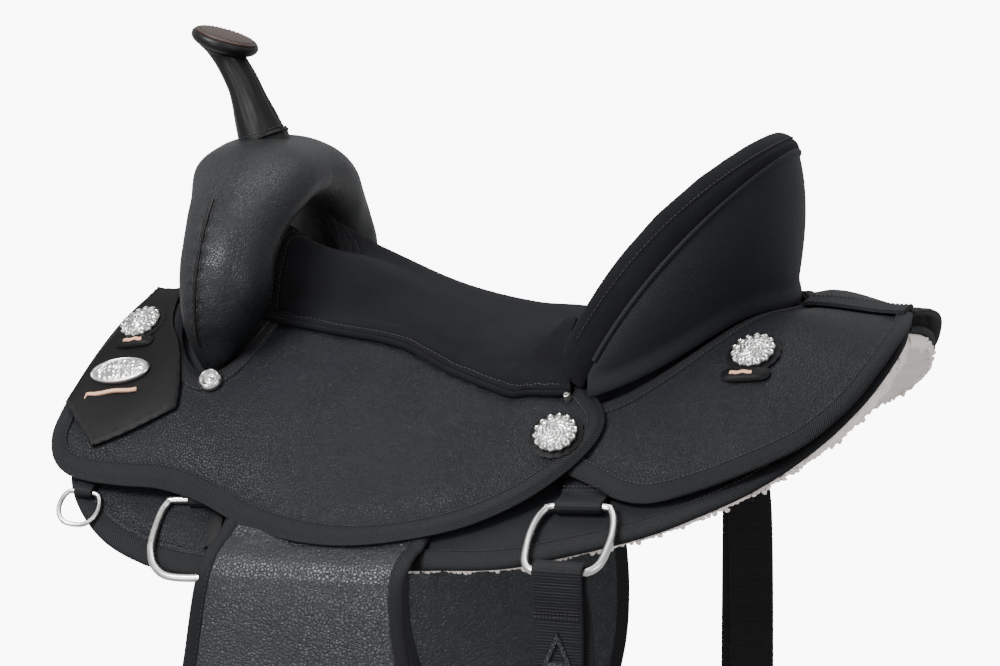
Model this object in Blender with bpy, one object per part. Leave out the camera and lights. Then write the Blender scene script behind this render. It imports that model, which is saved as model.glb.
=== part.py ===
"""Western barrel saddle, built as it is sewn: a tree, a seat and a swell cover, and flat panels laid over the tree.

Frame: metres, +Z up, -X towards the horn (forward), -Y the horse's left side.
The origin is on the spine line where the fleece is lowest, so it is the point that rests on the rack.

Two height functions carry the whole layout. lower_form is the top of the skirts, which follow the horse's back,
and upper_form is the top of the jockeys, which bulge over the tree's bars. A panel is an outline in plan view
that is laid on one of them.
"""

import bpy
import bmesh
import math
from mathutils import Vector, Matrix
from mathutils.geometry import delaunay_2d_cdt

MM = 0.001
LEFT, RIGHT = -1, 1
SIDES = {"left": LEFT, "right": RIGHT}

# Driving dimensions, in metres.
SPINE_HEIGHT = 0.017  # top of the skirts above the rack, at the lowest point of the spine line
SPINE_RISE = 0.032  # how far the spine line rises at each end
HALF_LENGTH = 0.305
BAR_BULGE = 0.042  # how far the tree's bars lift the jockeys off the skirts
JOCKEY_LIFT = 0.010  # the jockeys' top above the skirts where no bar lifts them
LEATHER = 0.004
SKIRT_THICKNESS = 0.0046
FLEECE_THICKNESS = 0.011
FLEECE_EDGE = 0.0045
LAYER_GAP = 0.0012
WEBBING_WIDTH = 0.038
WEBBING_THICKNESS = 0.003

CANTLE_CENTRE_X = 0.060
CANTLE_A = 0.153  # the cantle's back seam in plan view: half axes along X and Y
CANTLE_B = 0.153
CANTLE_END = math.radians(79.5)  # angle from the rear at which the rim meets the jockeys
CANTLE_HEIGHT = 0.177  # back seam above the rack, at the centre
CANTLE_LEAN = 0.001  # how far the back's foot lies inside its seam

HORN_BASE = Vector((-0.2150, 0, 0.170))
HORN_TOP = Vector((-0.2415, 0, 0.2420))
HORN_CAP_TILT = math.radians(17.5)
HORN_CAP_RADIUS = 0.027

SEAT_CORNER = 0.152  # half width of the seat at its two rear corners
SEAT_END = math.radians(86.5)  # angle from the rear at which the seat leaves the roll and turns out to a corner

FENDER_HINGE = Vector((-0.068, 0.236, -0.0983))  # where a fender leaves the jockey's edge and folds down
FENDER_AXIS = Vector((0.136, 0.0215, 0.0080)).normalized()
FENDER_DROP = 0.490  # from the fold to the stirrup bolt
FENDER_THICKNESS = 0.0042
STIRRUP_CENTRE = -0.012  # the stirrup's middle along the fold line, from FENDER_HINGE
BOLT_RADIUS = 0.004
DEE_WIRE = 0.003
BREAST_DEE_WIRE = 0.0019


# ---------------------------------------------------------------- form

def smooth(t):
    """0 below 0, 1 above 1, and an S-curve between."""
    t = min(1.0, max(0.0, t))
    return t * t * (3 - 2 * t)


def spine(x):
    return SPINE_HEIGHT + SPINE_RISE * (x / HALF_LENGTH) ** 2


def lower_form(x, y):
    """Height of the skirts' top: A-shaped over the withers in front, flatter over the loin."""
    slope = 0.15 + 0.30 * smooth((0.03 - x) / 0.33)
    ridge_radius = 0.015
    return spine(x) - slope * (math.hypot(y, ridge_radius) - ridge_radius) - 1.3 * y * y


def fleece_underside(x, y):
    """The fleece is combed thin towards the skirts' edge."""
    thickness = FLEECE_THICKNESS + (FLEECE_EDGE - FLEECE_THICKNESS) * smooth((abs(y) - 0.11) / 0.09)
    return lower_form(x, y) - SKIRT_THICKNESS - LAYER_GAP - thickness


def bar_bulge(x, y):
    """Share of BAR_BULGE at a place: full along the bars, half over the spine, none at the skirts' edge."""
    y = abs(y)
    across = (0.55 + 0.45 * smooth(y / 0.09)) * (1 - smooth((y - 0.09) / 0.16))
    along = (1 - 0.75 * smooth((x - 0.22) / 0.10)) * (1 - 0.7 * smooth((-0.22 - x) / 0.10))
    return across * along


def upper_form(x, y):
    return lower_form(x, y) + JOCKEY_LIFT + BAR_BULGE * bar_bulge(x, y)


def normal_of(form, x, y):
    step = 0.002
    dx = (form(x + step, y) - form(x - step, y)) / (2 * step)
    dy = (form(x, y + step) - form(x, y - step)) / (2 * step)
    return Vector((-dx, -dy, 1)).normalized()


def on_form(form, x, y, offset):
    """The point offset above the form along its normal."""
    return Vector((x, y, form(x, y))) + normal_of(form, x, y) * offset


# ---------------------------------------------------------------- curves

def catmull(p0, p1, p2, p3, t):
    return 0.5 * (
        2 * p1 + (p2 - p0) * t + (2 * p0 - 5 * p1 + 4 * p2 - p3) * t * t + (3 * p1 - p0 - 3 * p2 + p3) * t ** 3
    )


def smooth_outline(points, step):
    """A closed curve through points given in millimetres as (x, y), or (x, y, 1) where it has a corner."""
    count = len(points)
    places = [Vector((p[0] * MM, p[1] * MM)) for p in points]
    corner = [len(p) > 2 for p in points]
    outline = []
    for i in range(count):
        j = (i + 1) % count
        before = places[i] if corner[i] else places[i - 1]
        after = places[j] if corner[j] else places[(j + 1) % count]
        pieces = max(1, round((places[j] - places[i]).length / step))
        outline += [catmull(before, places[i], places[j], after, k / pieces) for k in range(pieces)]
    return outline


def smooth_path(points, pieces):
    """An open curve through 3-D points, with so many pieces between each two."""
    path = []
    for i in range(len(points) - 1):
        before, after = points[max(i - 1, 0)], points[min(i + 2, len(points) - 1)]
        path += [catmull(before, points[i], points[i + 1], after, k / pieces) for k in range(pieces)]
    return path + [points[-1].copy()]


def read_between(rows, t):
    """The tuple at t along rows of equal-length tuples, on a smooth curve."""
    i = min(int(t), len(rows) - 2)
    near = [rows[max(i - 1, 0)], rows[i], rows[i + 1], rows[min(i + 2, len(rows) - 1)]]
    return [catmull(*values, t - i) for values in zip(*near)]


def inside(point, outline):
    hit = False
    for i, a in enumerate(outline):
        b = outline[i - 1]
        if (a.y > point.y) != (b.y > point.y):
            if point.x < (b.x - a.x) * (point.y - a.y) / (b.y - a.y) + a.x:
                hit = not hit
    return hit


# ---------------------------------------------------------------- meshes

def material(name, colour, roughness, metallic=0.0):
    made = bpy.data.materials.get(name) or bpy.data.materials.new(name)
    made.use_nodes = True
    shader = made.node_tree.nodes["Principled BSDF"]
    shader.inputs["Base Color"].default_value = (*colour, 1)
    shader.inputs["Roughness"].default_value = roughness
    shader.inputs["Metallic"].default_value = metallic
    return made


def add_object(name, mesh, finish):
    made = bpy.data.objects.new(name, mesh)
    bpy.context.scene.collection.objects.link(made)
    mesh.materials.append(finish)
    return made


def add_mesh(name, verts, faces, finish):
    """A closed mesh with its faces turned outwards and its round parts shaded smooth."""
    mesh = bpy.data.meshes.new(name)
    shape = bmesh.new()
    made = [shape.verts.new(v) for v in verts]
    for face in faces:
        if len(set(face)) > 2:
            shape.faces.new([made[i] for i in face])
    bmesh.ops.recalc_face_normals(shape, faces=shape.faces)
    if shape.calc_volume(signed=True) < 0:
        bmesh.ops.reverse_faces(shape, faces=shape.faces)
    shape.to_mesh(mesh)
    shape.free()
    mesh.shade_smooth()
    mesh.set_sharp_from_angle(angle=math.radians(35))
    return add_object(name, mesh, finish)


def loft(name, rings, finish):
    """A solid through closed rings of equal count, with its two ends filled."""
    count = len(rings[0])
    verts = [p for ring in rings for p in ring]
    faces = [list(range(count)), list(range(len(verts) - count, len(verts)))]
    for r in range(len(rings) - 1):
        for i in range(count):
            j = (i + 1) % count
            faces.append([r * count + i, r * count + j, (r + 1) * count + j, (r + 1) * count + i])
    return add_mesh(name, verts, faces, finish)


def tube_shell(name, outer, inner, finish):
    """A hollow solid between two stacks of rings, open at both ends."""
    count, rows = len(outer[0]), len(outer)
    verts = [p for ring in outer + inner for p in ring]
    shift = rows * count
    faces = []
    for r in range(rows - 1):
        for i in range(count):
            j = (i + 1) % count
            a, b, c, d = r * count + i, r * count + j, (r + 1) * count + j, (r + 1) * count + i
            faces += [[a, b, c, d], [shift + d, shift + c, shift + b, shift + a]]
    for r in (0, rows - 1):
        for i in range(count):
            j = (i + 1) % count
            faces.append([r * count + i, r * count + j, shift + r * count + j, shift + r * count + i])
    return add_mesh(name, verts, faces, finish)


def slab(name, top, bottom, finish):
    """A solid between two grids of points, rows by columns."""
    rows, columns = len(top), len(top[0])
    verts = [p for row in top + bottom for p in row]
    shift = rows * columns
    faces = []
    for r in range(rows - 1):
        for c in range(columns - 1):
            a = r * columns + c
            quad = [a, a + 1, a + columns + 1, a + columns]
            faces += [quad, [shift + i for i in reversed(quad)]]
    edge = [(0, c) for c in range(columns)] + [(r, columns - 1) for r in range(1, rows)]
    edge += [(rows - 1, c) for c in range(columns - 2, -1, -1)] + [(r, 0) for r in range(rows - 2, 0, -1)]
    loop = [r * columns + c for r, c in edge]
    for i, a in enumerate(loop):
        b = loop[(i + 1) % len(loop)]
        faces.append([a, b, shift + b, shift + a])
    return add_mesh(name, verts, faces, finish)


def panel(name, outline, form, top, bottom, finish, spacing=0.026, under=None):
    """A sheet cut to a plan-view outline and laid on a form, between two offsets from it or from the form under."""
    points = list(outline)
    xs, ys = [p.x for p in outline], [p.y for p in outline]
    for i in range(math.floor(min(xs) / spacing), math.ceil(max(xs) / spacing) + 1):
        for j in range(math.floor(min(ys) / spacing), math.ceil(max(ys) / spacing) + 1):
            place = Vector((i * spacing, j * spacing))
            near = min((place - p).length for p in outline)
            if near > 0.45 * spacing and inside(place, outline):
                points.append(place)
    count = len(outline)
    edges = [(i, (i + 1) % count) for i in range(count)]
    flat, _, triangles, *_ = delaunay_2d_cdt(points, edges, [], 1, 1e-6)
    above = [on_form(form, p.x, p.y, top) for p in flat]
    below = [on_form(under or form, p.x, p.y, bottom) for p in flat]
    shift = len(flat)
    faces = [list(t) for t in triangles] + [[shift + i for i in reversed(t)] for t in triangles]
    uses = {}
    for t in triangles:
        for a, b in zip(t, t[1:] + t[:1]):
            uses[frozenset((a, b))] = None if frozenset((a, b)) in uses else (a, b)
    faces += [[a, b, shift + b, shift + a] for a, b in filter(None, uses.values())]
    return add_mesh(name, above + below, faces, finish)


def ribbon(name, path, widths, across, thickness, finish):
    """A flat strap along a path: across is the direction of its width."""
    rings = []
    for i, point in enumerate(path):
        ahead = (path[min(i + 1, len(path) - 1)] - path[max(i - 1, 0)]).normalized()
        flat = (across - ahead * across.dot(ahead)).normalized()
        up = flat.cross(ahead) * thickness / 2
        half = flat * (widths[i] if isinstance(widths, list) else widths) / 2
        rings.append([point - half - up, point + half - up, point + half + up, point - half + up])
    return loft(name, rings, finish)


def wire_ring(name, points, radius, finish, sides=8):
    """A closed ring of round wire through points."""
    count = len(points)
    rings = []
    middle = sum(points, Vector()) / count
    flat = (points[1] - middle).cross(points[count // 3] - middle).normalized()
    for i, point in enumerate(points):
        ahead = (points[(i + 1) % count] - points[i - 1]).normalized()
        out = flat.cross(ahead).normalized()
        turn = [2 * math.pi * k / sides for k in range(sides)]
        rings.append([point + (out * math.cos(a) + flat * math.sin(a)) * radius for a in turn])
    verts = [p for ring in rings for p in ring]
    faces = []
    for r in range(count):
        for i in range(sides):
            j, q = (i + 1) % sides, (r + 1) % count
            faces.append([r * sides + i, r * sides + j, q * sides + j, q * sides + i])
    return add_mesh(name, verts, faces, finish)


def turned(name, profile, finish, place, axis, steps=16):
    """A turned solid: profile is (radius, height) from the bottom's centre to the top's centre."""
    shape = bmesh.new()
    verts = [shape.verts.new((r, 0, z)) for r, z in profile]
    edges = [shape.edges.new(pair) for pair in zip(verts, verts[1:])]
    bmesh.ops.spin(
        shape, geom=verts + edges, axis=(0, 0, 1), cent=(0, 0, 0), angle=2 * math.pi, steps=steps, use_duplicate=False
    )
    bmesh.ops.remove_doubles(shape, verts=shape.verts, dist=1e-6)
    bmesh.ops.recalc_face_normals(shape, faces=shape.faces)
    if shape.calc_volume(signed=True) < 0:
        bmesh.ops.reverse_faces(shape, faces=shape.faces)
    mesh = bpy.data.meshes.new(name)
    shape.to_mesh(mesh)
    shape.free()
    mesh.shade_smooth()
    mesh.set_sharp_from_angle(angle=math.radians(35))
    made = add_object(name, mesh, finish)
    made.location = place
    made.rotation_mode = "QUATERNION"
    made.rotation_quaternion = Vector(axis).to_track_quat("Z", "Y")
    return made


def cut(target, cutter, operation="DIFFERENCE"):
    change = target.modifiers.new("cut", "BOOLEAN")
    change.operation = operation
    change.object = cutter
    cutter.hide_render = True
    cutter.display_type = "WIRE"


# ---------------------------------------------------------------- materials

PEBBLED = material("pebbled_leather", (0.018, 0.020, 0.023), 0.42)
SMOOTH_LEATHER = material("smooth_leather", (0.012, 0.012, 0.013), 0.30)
BROWN_LEATHER = material("brown_leather", (0.10, 0.035, 0.015), 0.35)
SUEDE = material("suede", (0.010, 0.010, 0.012), 0.95)
CORDURA = material("cordura", (0.012, 0.013, 0.017), 0.75)
WEBBING = material("webbing", (0.012, 0.012, 0.014), 0.65)
FLEECE = material("fleece", (0.80, 0.70, 0.64), 0.95)
STEEL = material("stainless_steel", (0.62, 0.61, 0.59), 0.25, 1.0)
SILVER = material("engraved_silver", (0.80, 0.79, 0.77), 0.22, 1.0)
TREE = material("tree_fibreglass", (0.45, 0.36, 0.22), 0.55)
IRON = material("horn_iron", (0.20, 0.20, 0.21), 0.45, 1.0)
STIRRUP_BLACK = material("moulded_black", (0.015, 0.015, 0.016), 0.45)


# ---------------------------------------------------------------- outlines, in millimetres, for the right side

SKIRT = [
    (-300, 60, 1), (-310, 120), (-311, 162), (-301, 191), (-270, 215), (-227, 230), (-178, 240), (-120, 248),
    (-60, 252), (0, 257), (61, 255), (110, 245), (167, 231), (205, 216), (235, 201), (262, 180), (285, 152),
    (301, 118), (309, 80), (311, 40), (306, 3, 1), (-140, 3, 1), (-200, 14), (-260, 38),
]
SEAT_JOCKEY = [
    (-262, 34, 1), (-293, 40, 1), (-307, 90), (-320, 148), (-321, 174), (-305, 188), (-262, 192), (-225, 194),
    (-190, 201), (-150, 216), (-105, 230), (-60, 239), (-18, 240), (20, 234), (55, 220), (82, 204), (102, 187),
    (111, 172), (107, 159), (92, 145, 1), (50, 130), (12, 122), (-27, 106), (-66, 92), (-125, 78), (-174, 72, 1),
    (-184, 108), (-196, 126), (-214, 134), (-232, 126), (-247, 104), (-256, 70),
]
REAR_JOCKEY = [
    (72, 156, 1), (96, 155), (126, 145), (157, 123), (183, 96), (203, 64), (216, 32), (220, 4, 1), (306, 4, 1),
    (312, 45), (311, 78), (306, 112), (294, 149), (272, 179), (246, 195), (212, 206), (177, 214), (155, 216),
    (134, 212), (112, 203), (88, 194), (70, 184, 1),
]
PLATE = [
    (-290, 40, 1), (-300, 82), (-314, 122), (-322, 150, 1), (-289, 175, 1), (-236, 158), (-228, 150), (-239, 118),
    (-256, 90), (-266, 48, 1),
]

# Swell stations from the centre to one tip: outer y, outer z, inner y, inner z, middle x, half length along X.
SWELL = [
    (0.000, 0.178, 0.000, 0.108, -0.212, 0.054),
    (0.045, 0.173, 0.032, 0.105, -0.208, 0.052),
    (0.094, 0.149, 0.058, 0.092, -0.201, 0.046),
    (0.131, 0.118, 0.080, 0.073, -0.199, 0.042),
    (0.150, 0.085, 0.092, 0.055, -0.200, 0.037),
    (0.148, 0.052, 0.097, 0.038, -0.205, 0.029),
    (0.134, 0.028, 0.102, 0.024, -0.210, 0.020),
    (0.121, 0.009, 0.107, 0.010, -0.213, 0.010),
]

# Seat sections from the front edge to the dip, each from the centre line to the lower edge, as x, y, z in mm.
SEAT = [
    [(-150, 0, 87), (-158, 26, 92), (-171, 46, 101), (-178, 64, 82), (-184, 86, 43)],
    [(-122, 0, 83), (-124, 30, 82), (-127, 55, 74), (-129, 77, 58), (-130, 98, 37)],
    [(-66, 0, 62), (-66, 36, 61), (-66, 66, 55), (-66, 90, 46), (-66, 112, 33)],
    [(-15, 0, 47), (-15, 44, 46), (-15, 80, 42), (-15, 110, 33), (-15, 136, 19)],
    [(36, 0, 42), (36, 48, 42), (36, 90, 38), (36, 124, 28), (35, 152, 9)],
]


# ---------------------------------------------------------------- tree

def bar_outline():
    return smooth_outline(
        [(-262, 70), (-235, 108), (-150, 128), (-40, 146), (80, 158), (200, 150), (268, 120), (285, 70), (230, 34),
         (60, 26), (-120, 26), (-225, 44)], 0.028)


def build_bars():
    """The tree's two bars, which carry the weight on each side of the spine."""
    def top(x, y):
        return lower_form(x, y) + 0.0035 + 0.0045 * bar_bulge(x, y)

    for side, sign in SIDES.items():
        panel(f"tree_bar_{side}", mirrored(bar_outline(), sign), top, 0, 0.0015, TREE, under=lower_form)


def swell_rings(shrink, start, end, rows, count=14):
    """Rings round the swell's arch from start to end, -7 on the left to 7 on the right."""
    rings = []
    for r in range(rows + 1):
        t = start + (end - start) * r / rows
        outer_y, outer_z, inner_y, inner_z, middle, half = read_between(SWELL, abs(t))
        sign = -1 if t < 0 else 1
        outer = Vector((middle, outer_y * sign, outer_z))
        inner = Vector((middle, inner_y * sign, inner_z))
        centre, up = (outer + inner) / 2, (outer - inner) / 2
        up = up * max(0.25, (up.length - shrink) / up.length)
        half = max(0.0035, half - shrink)
        turn = [2 * math.pi * k / count for k in range(count)]
        rings.append([centre + Vector((half * math.cos(a), 0, 0)) + up * math.sin(a) for a in turn])
    return rings


def horn_frame(share):
    """A point on the horn's neck line, and the neck's own axis."""
    return HORN_BASE.lerp(HORN_TOP, share), (HORN_TOP - HORN_BASE).normalized()


def horn_ring(share, radius, count=16, sideways=1.0):
    place, axis = horn_frame(share)
    across = Vector((0, 1, 0))
    ahead = across.cross(axis)
    turn = [2 * math.pi * k / count for k in range(count)]
    return [place + (ahead * math.cos(a) + across * math.sin(a) * sideways) * radius for a in turn]


def build_pommel():
    """The fork with its padded cover, and the horn, whose iron neck stands in a socket in the fork."""
    fork = loft("fork", swell_rings(0.0066, -49 / 9, 49 / 9, 14), TREE)
    cover = tube_shell("swell_cover", swell_rings(0, -7, 7, 18), swell_rings(0.005, -7, 7, 18), PEBBLED)
    socket = loft("socket_cutter", [horn_ring(-0.42, 0.0135), horn_ring(1.0, 0.0135)], TREE)
    cut(fork, socket)
    cut(cover, socket)
    iron = [(-0.40, 0.0125), (0.10, 0.0125), (0.45, 0.0075), (0.90, 0.0068)]
    loft("horn_iron", [horn_ring(s, r) for s, r in iron], IRON)
    wrap_outer = [(-0.05, 0.0215), (0.10, 0.0195), (0.35, 0.0160), (0.65, 0.0120), (0.86, 0.0110)]
    wrap_inner = [(-0.05, 0.0140), (0.10, 0.0140), (0.35, 0.0125), (0.65, 0.0085), (0.86, 0.0078)]
    wrap = tube_shell(
        "horn_wrap", [horn_ring(s, r) for s, r in wrap_outer], [horn_ring(s, r) for s, r in wrap_inner],
        SMOOTH_LEATHER)
    cut(wrap, loft("swell_cutter", swell_rings(-0.0004, -4, 4, 14), PEBBLED))
    axis = Vector((math.sin(HORN_CAP_TILT), 0, math.cos(HORN_CAP_TILT)))
    cap_place = Vector((-0.2510, 0, 0.2430))
    profile = [(0, 0), (0.0110, 0), (0.0200, 0.0020), (HORN_CAP_RADIUS - 0.001, 0.0055), (HORN_CAP_RADIUS, 0.0085),
               (HORN_CAP_RADIUS - 0.001, 0.0120), (0, 0.0120)]
    cap = turned("horn_cap", profile, SMOOTH_LEATHER, cap_place, axis, 24)
    cut(cap, loft("cap_cutter", [horn_ring(0.7, 0.0074), horn_ring(0.93, 0.0074)], IRON))
    top = [(0, 0), (0.0245, 0), (0.0245, 0.0012), (0.020, 0.0026), (0, 0.0032)]
    turned("horn_cap_leather", top, BROWN_LEATHER, cap_place + axis * 0.0123, axis, 24)


def rim_seam(angle):
    """Height of the cantle's back seam at an angle from the rear."""
    return CANTLE_HEIGHT * max(0.0, 1 - (angle / CANTLE_END) ** 2) ** 0.8


def rim_place(angle, inset, rise=0.0):
    """A point on the cantle: inset from its outer face in plan view, and rise above the back seam, square to it."""
    a, b = CANTLE_A - inset, CANTLE_B - inset
    step = math.radians(0.5)
    run = math.hypot(a * math.sin(angle), b * math.cos(angle)) * 2 * step
    climb = rim_seam(angle + step) - rim_seam(angle - step)
    square = math.hypot(run, climb)
    angle -= (climb / square) * rise / (run / (2 * step))
    height = rim_seam(angle + (climb / square) * rise / (run / (2 * step))) + rise * run / square
    return Vector((CANTLE_CENTRE_X + a * math.cos(angle), b * math.sin(angle), height))


def build_cantle():
    """The cantle's core, its woven back and the suede roll along its rim."""
    def spread(last):
        return [math.radians(last) * (k / 12 - 1) for k in range(25)]

    def standing(name, outer, inner, drop, last, finish):
        """A wall round the cantle, from the jockeys up to drop below the back seam."""
        rings = []
        for a in spread(last):
            high_out, high_in = rim_place(a, outer, -drop), rim_place(a, inner, -drop)
            out = Vector((math.cos(a), math.sin(a), 0))
            ring_out, ring_in = [], []
            for high, ring in ((high_out, ring_out), (high_in, ring_in)):
                low = high - out * CANTLE_LEAN * min(1, high.z / 0.1)
                low.z = min(upper_form(low.x, low.y) + 0.0015, high.z - 0.004)
                belly = out * 0.006 * min(1, (high.z - low.z) / 0.1)
                ring += [low, low.lerp(high, 0.35) + belly * 0.8, low.lerp(high, 0.70) + belly, high]
            rings.append(ring_out + ring_in[::-1])
        loft(name, rings, finish)

    standing("cantle_back", 0, 0.0035, 0.0015, 75.5, CORDURA)
    standing("cantle_core", 0.0050, 0.0115, 0.0065, 68, TREE)
    section = [(0.0, 0.0), (-0.0005, 0.004), (0.003, 0.0095), (0.010, 0.0135), (0.018, 0.0140), (0.0245, 0.0095),
               (0.0262, 0.0020), (0.0262, -0.0040)]
    rings = []
    for a in spread(77.8):
        steep = 1 + 0.75 * smooth(abs(a) / math.radians(60))
        rings.append([rim_place(a, inset, rise * (steep if rise > 0 else 1)) for inset, rise in section])
    loft("cantle_roll", rings, SUEDE)


def seat_grid(columns, fine):
    """Rows of points over the whole seat, from the front edge to the cantle's rim."""
    half = [[Vector(p) * MM for p in section] for section in SEAT]
    shares = [0, 0.25, 0.5, 0.75]
    for inset, share, corner in ((0.086, 0.06, 42), (0.060, 0.26, 48), (0.042, 0.60, 53), (0.0300, 1.0, 58)):
        row = []
        for s in shares:
            angle = SEAT_END * s / 0.75
            place = rim_place(angle, inset + 0.005 * s)
            rest = 0.044 - 0.033 * math.sin(angle) ** 2
            rest = max(rest, (upper_form(place.x, place.y) + 0.006) * smooth((s - 0.6) / 0.2))
            place.z = rest + share * max(0.0, rim_seam(angle) - 0.012 - rest)
            row.append(place)
        row.append(Vector((corner * MM, SEAT_CORNER, upper_form(corner * MM, SEAT_CORNER) + 0.006)))
        half.append(row)
    rows = []
    for r in range(fine):
        along = r * (len(half) - 1) / (fine - 1)
        row = []
        for c in range(columns + 1):
            across = c / columns * len(shares)
            near = [read_between([tuple(p) for p in section], across) for section in half]
            point = Vector(read_between(near, along))
            if c / columns > 0.8:
                point.z = max(point.z, upper_form(point.x, point.y) + 0.0055)
            row.append(point)
        rows.append([Vector((p.x, -p.y, p.z)) for p in row[:0:-1]] + row)
    return rows


def seat_surfaces(columns, fine, depths):
    """The seat's top surface, and surfaces under it at given depths in the middle and at the edge."""
    top = seat_grid(columns, fine)
    surfaces = [top]
    for middle, edge in depths:
        lower = []
        for r, row in enumerate(top):
            points = []
            for c, point in enumerate(row):
                along = top[min(r + 1, fine - 1)][c] - top[max(r - 1, 0)][c]
                across = row[min(c + 1, 2 * columns)] - row[max(c - 1, 0)]
                share = 1 - (abs(c - columns) / columns) ** 3
                moved = point - along.cross(across).normalized() * (edge + (middle - edge) * share)
                if abs(c - columns) / columns > 0.7:
                    moved.z = max(moved.z, upper_form(moved.x, moved.y) + 0.0020)
                points.append(moved)
            lower.append(points)
        surfaces.append(lower)
    return surfaces


def build_seat():
    """The suede seat over its padding, and the ground seat that carries it on the bars."""
    columns, fine = 8, 17
    top, under, shell, base = seat_surfaces(columns, fine, ((0.0085, 0.0038), (0.0124, 0.0079), (0.0147, 0.0102)))
    slab("seat_cover", top, under, SUEDE)
    middle = slice(columns - 4, columns + 5)
    slab("ground_seat", [row[middle] for row in shell[2:10]], [row[middle] for row in base[2:10]], TREE)


# ---------------------------------------------------------------- panels

def mirrored(outline, sign):
    return [Vector((p.x, p.y * sign)) for p in outline]


def grown(outline, amount):
    """The outline moved outwards in plan view, or inwards for a negative amount, but not across the spine."""
    made = []
    for i, point in enumerate(outline):
        ahead = (outline[(i + 1) % len(outline)] - outline[i - 1]).normalized()
        out = Vector((ahead.y, -ahead.x))
        if inside(point + out * 0.002, outline):
            out = -out
        moved = point + out * amount
        made.append(Vector((moved.x, max(moved.y, 0.0025))))
    return made


def build_panels():
    step = 0.022
    skirt = grown(smooth_outline(SKIRT, step), -0.003)
    jockey = smooth_outline(SEAT_JOCKEY, step * 0.8)
    rear = smooth_outline(REAR_JOCKEY, step)
    plate = smooth_outline(PLATE, step)
    fleece_top = -SKIRT_THICKNESS - LAYER_GAP
    rear_top = -LEATHER - LAYER_GAP
    for side, sign in SIDES.items():
        panel(f"fleece_{side}", mirrored(grown(skirt, -0.004), sign), lower_form, fleece_top, 0, FLEECE, 0.034,
              under=fleece_underside)
        panel(f"skirt_{side}", mirrored(skirt, sign), lower_form, 0, -SKIRT_THICKNESS, CORDURA, 0.034)
        panel(f"rear_jockey_{side}", mirrored(rear, sign), upper_form, rear_top, rear_top - 0.0035, PEBBLED)
        panel(f"seat_jockey_{side}", mirrored(jockey, sign), upper_form, 0, -LEATHER, PEBBLED)
        panel(f"concho_plate_{side}", mirrored(plate, sign), upper_form, 0.0052, 0.0012, SMOOTH_LEATHER)


def build_connector():
    """The strip that joins the two rear jockeys over the spine."""
    rows = []
    for depth in (-0.0016, -0.0040):
        grid = []
        for k in range(7):
            x = 0.232 + 0.070 * k / 6
            grid.append([on_form(upper_form, x, y * MM, depth) for y in (-17, -9, 0, 9, 17)])
        rows.append(grid)
    slab("rear_connector", rows[0], rows[1], SMOOTH_LEATHER)


def build_conchos():
    """Engraved silver plates on the swell's shield, the seat jockeys and the rear jockeys."""
    round_face = [(0, 0), (0.90, 0), (1.0, 0.0010), (0.93, 0.0028), (0.55, 0.0044), (0.25, 0.0052), (0, 0.0055)]
    rear_top = -LEATHER - LAYER_GAP
    spots = [
        ("front_concho", -0.282, 0.089, 0.0165, 1.0, 0.0070),
        ("oval_concho", -0.283, 0.128, 0.0120, 2.1, 0.0078),
        ("middle_concho", 0.081, 0.177, 0.0165, 1.0, 0.0036),
        ("rear_concho", 0.214, 0.122, 0.0165, 1.0, rear_top + 0.0036),
        ("swell_button", -0.207, 0.137, 0.0090, 1.0, 0.0008),
    ]
    for name, x, y, radius, stretch, lift in spots:
        for side, sign in SIDES.items():
            normal = normal_of(upper_form, x, y * sign)
            profile = [(radius * r, z) for r, z in round_face]
            place = on_form(upper_form, x, y * sign, lift)
            made = turned(f"{name}_{side}", profile, SILVER, place, normal)
            along = (Vector((1, 0, 0)) - normal * normal.x).normalized()
            across = normal.cross(along)
            turn = Matrix((along, across, normal)).transposed()
            made.rotation_quaternion = turn.to_quaternion()
            for vertex in made.data.vertices:
                vertex.co.x *= stretch


# ---------------------------------------------------------------- rigging

def pivot(made, place):
    """Moves an object's origin to its joint."""
    made.data.transform(Matrix.Translation(-place))
    made.location = place


def dee_places(x, y, sign, lift):
    """A dee's bar centre, and its directions along the bar, down the skirt and off the skirt."""
    normal = normal_of(lower_form, x, y * sign)
    along = (Vector((1, 0, 0)) - normal * normal.x).normalized()
    down = along.cross(normal) * -sign
    if down.y * sign < 0:
        down = -down
    return on_form(lower_form, x, y * sign, lift), along, down, normal


def build_dee(name, x, y, sign, lift, wire, shape, tab_width, tab_length):
    """A wire dee that hinges in a webbing tab. shape is half its outline, as half width and drop in millimetres."""
    side = "right" if sign > 0 else "left"
    centre, along, down, normal = dee_places(x, y, sign, lift)
    lie = (down - normal * 0.05).normalized()
    flat = smooth_outline(shape + [(-w, d) for w, d in reversed(shape)], 0.0085)
    ring = wire_ring(f"{name}_{side}", [centre + along * p.x + lie * p.y for p in flat], wire, STEEL)
    pivot(ring, centre)
    ply = 0.0012
    loop = wire + 0.0007 + ply / 2
    half = [(-tab_length, 0.0012), (-0.016, 0.0013), (-0.007, loop * 0.6)]
    turn = [math.radians(-90 + 30 * k) for k in range(7)]
    path = [(d, -n) for d, n in half] + [(loop * math.cos(a), loop * math.sin(a)) for a in turn] + half[::-1]
    path = [(d, n - (lift - 0.0029) * smooth((-0.002 - d) / 0.010)) for d, n in path]
    points = [centre + down * d + normal * n for d, n in path]
    ribbon(f"{name}_tab_{side}", points, tab_width, along, ply, WEBBING)
    return centre, lie


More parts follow.
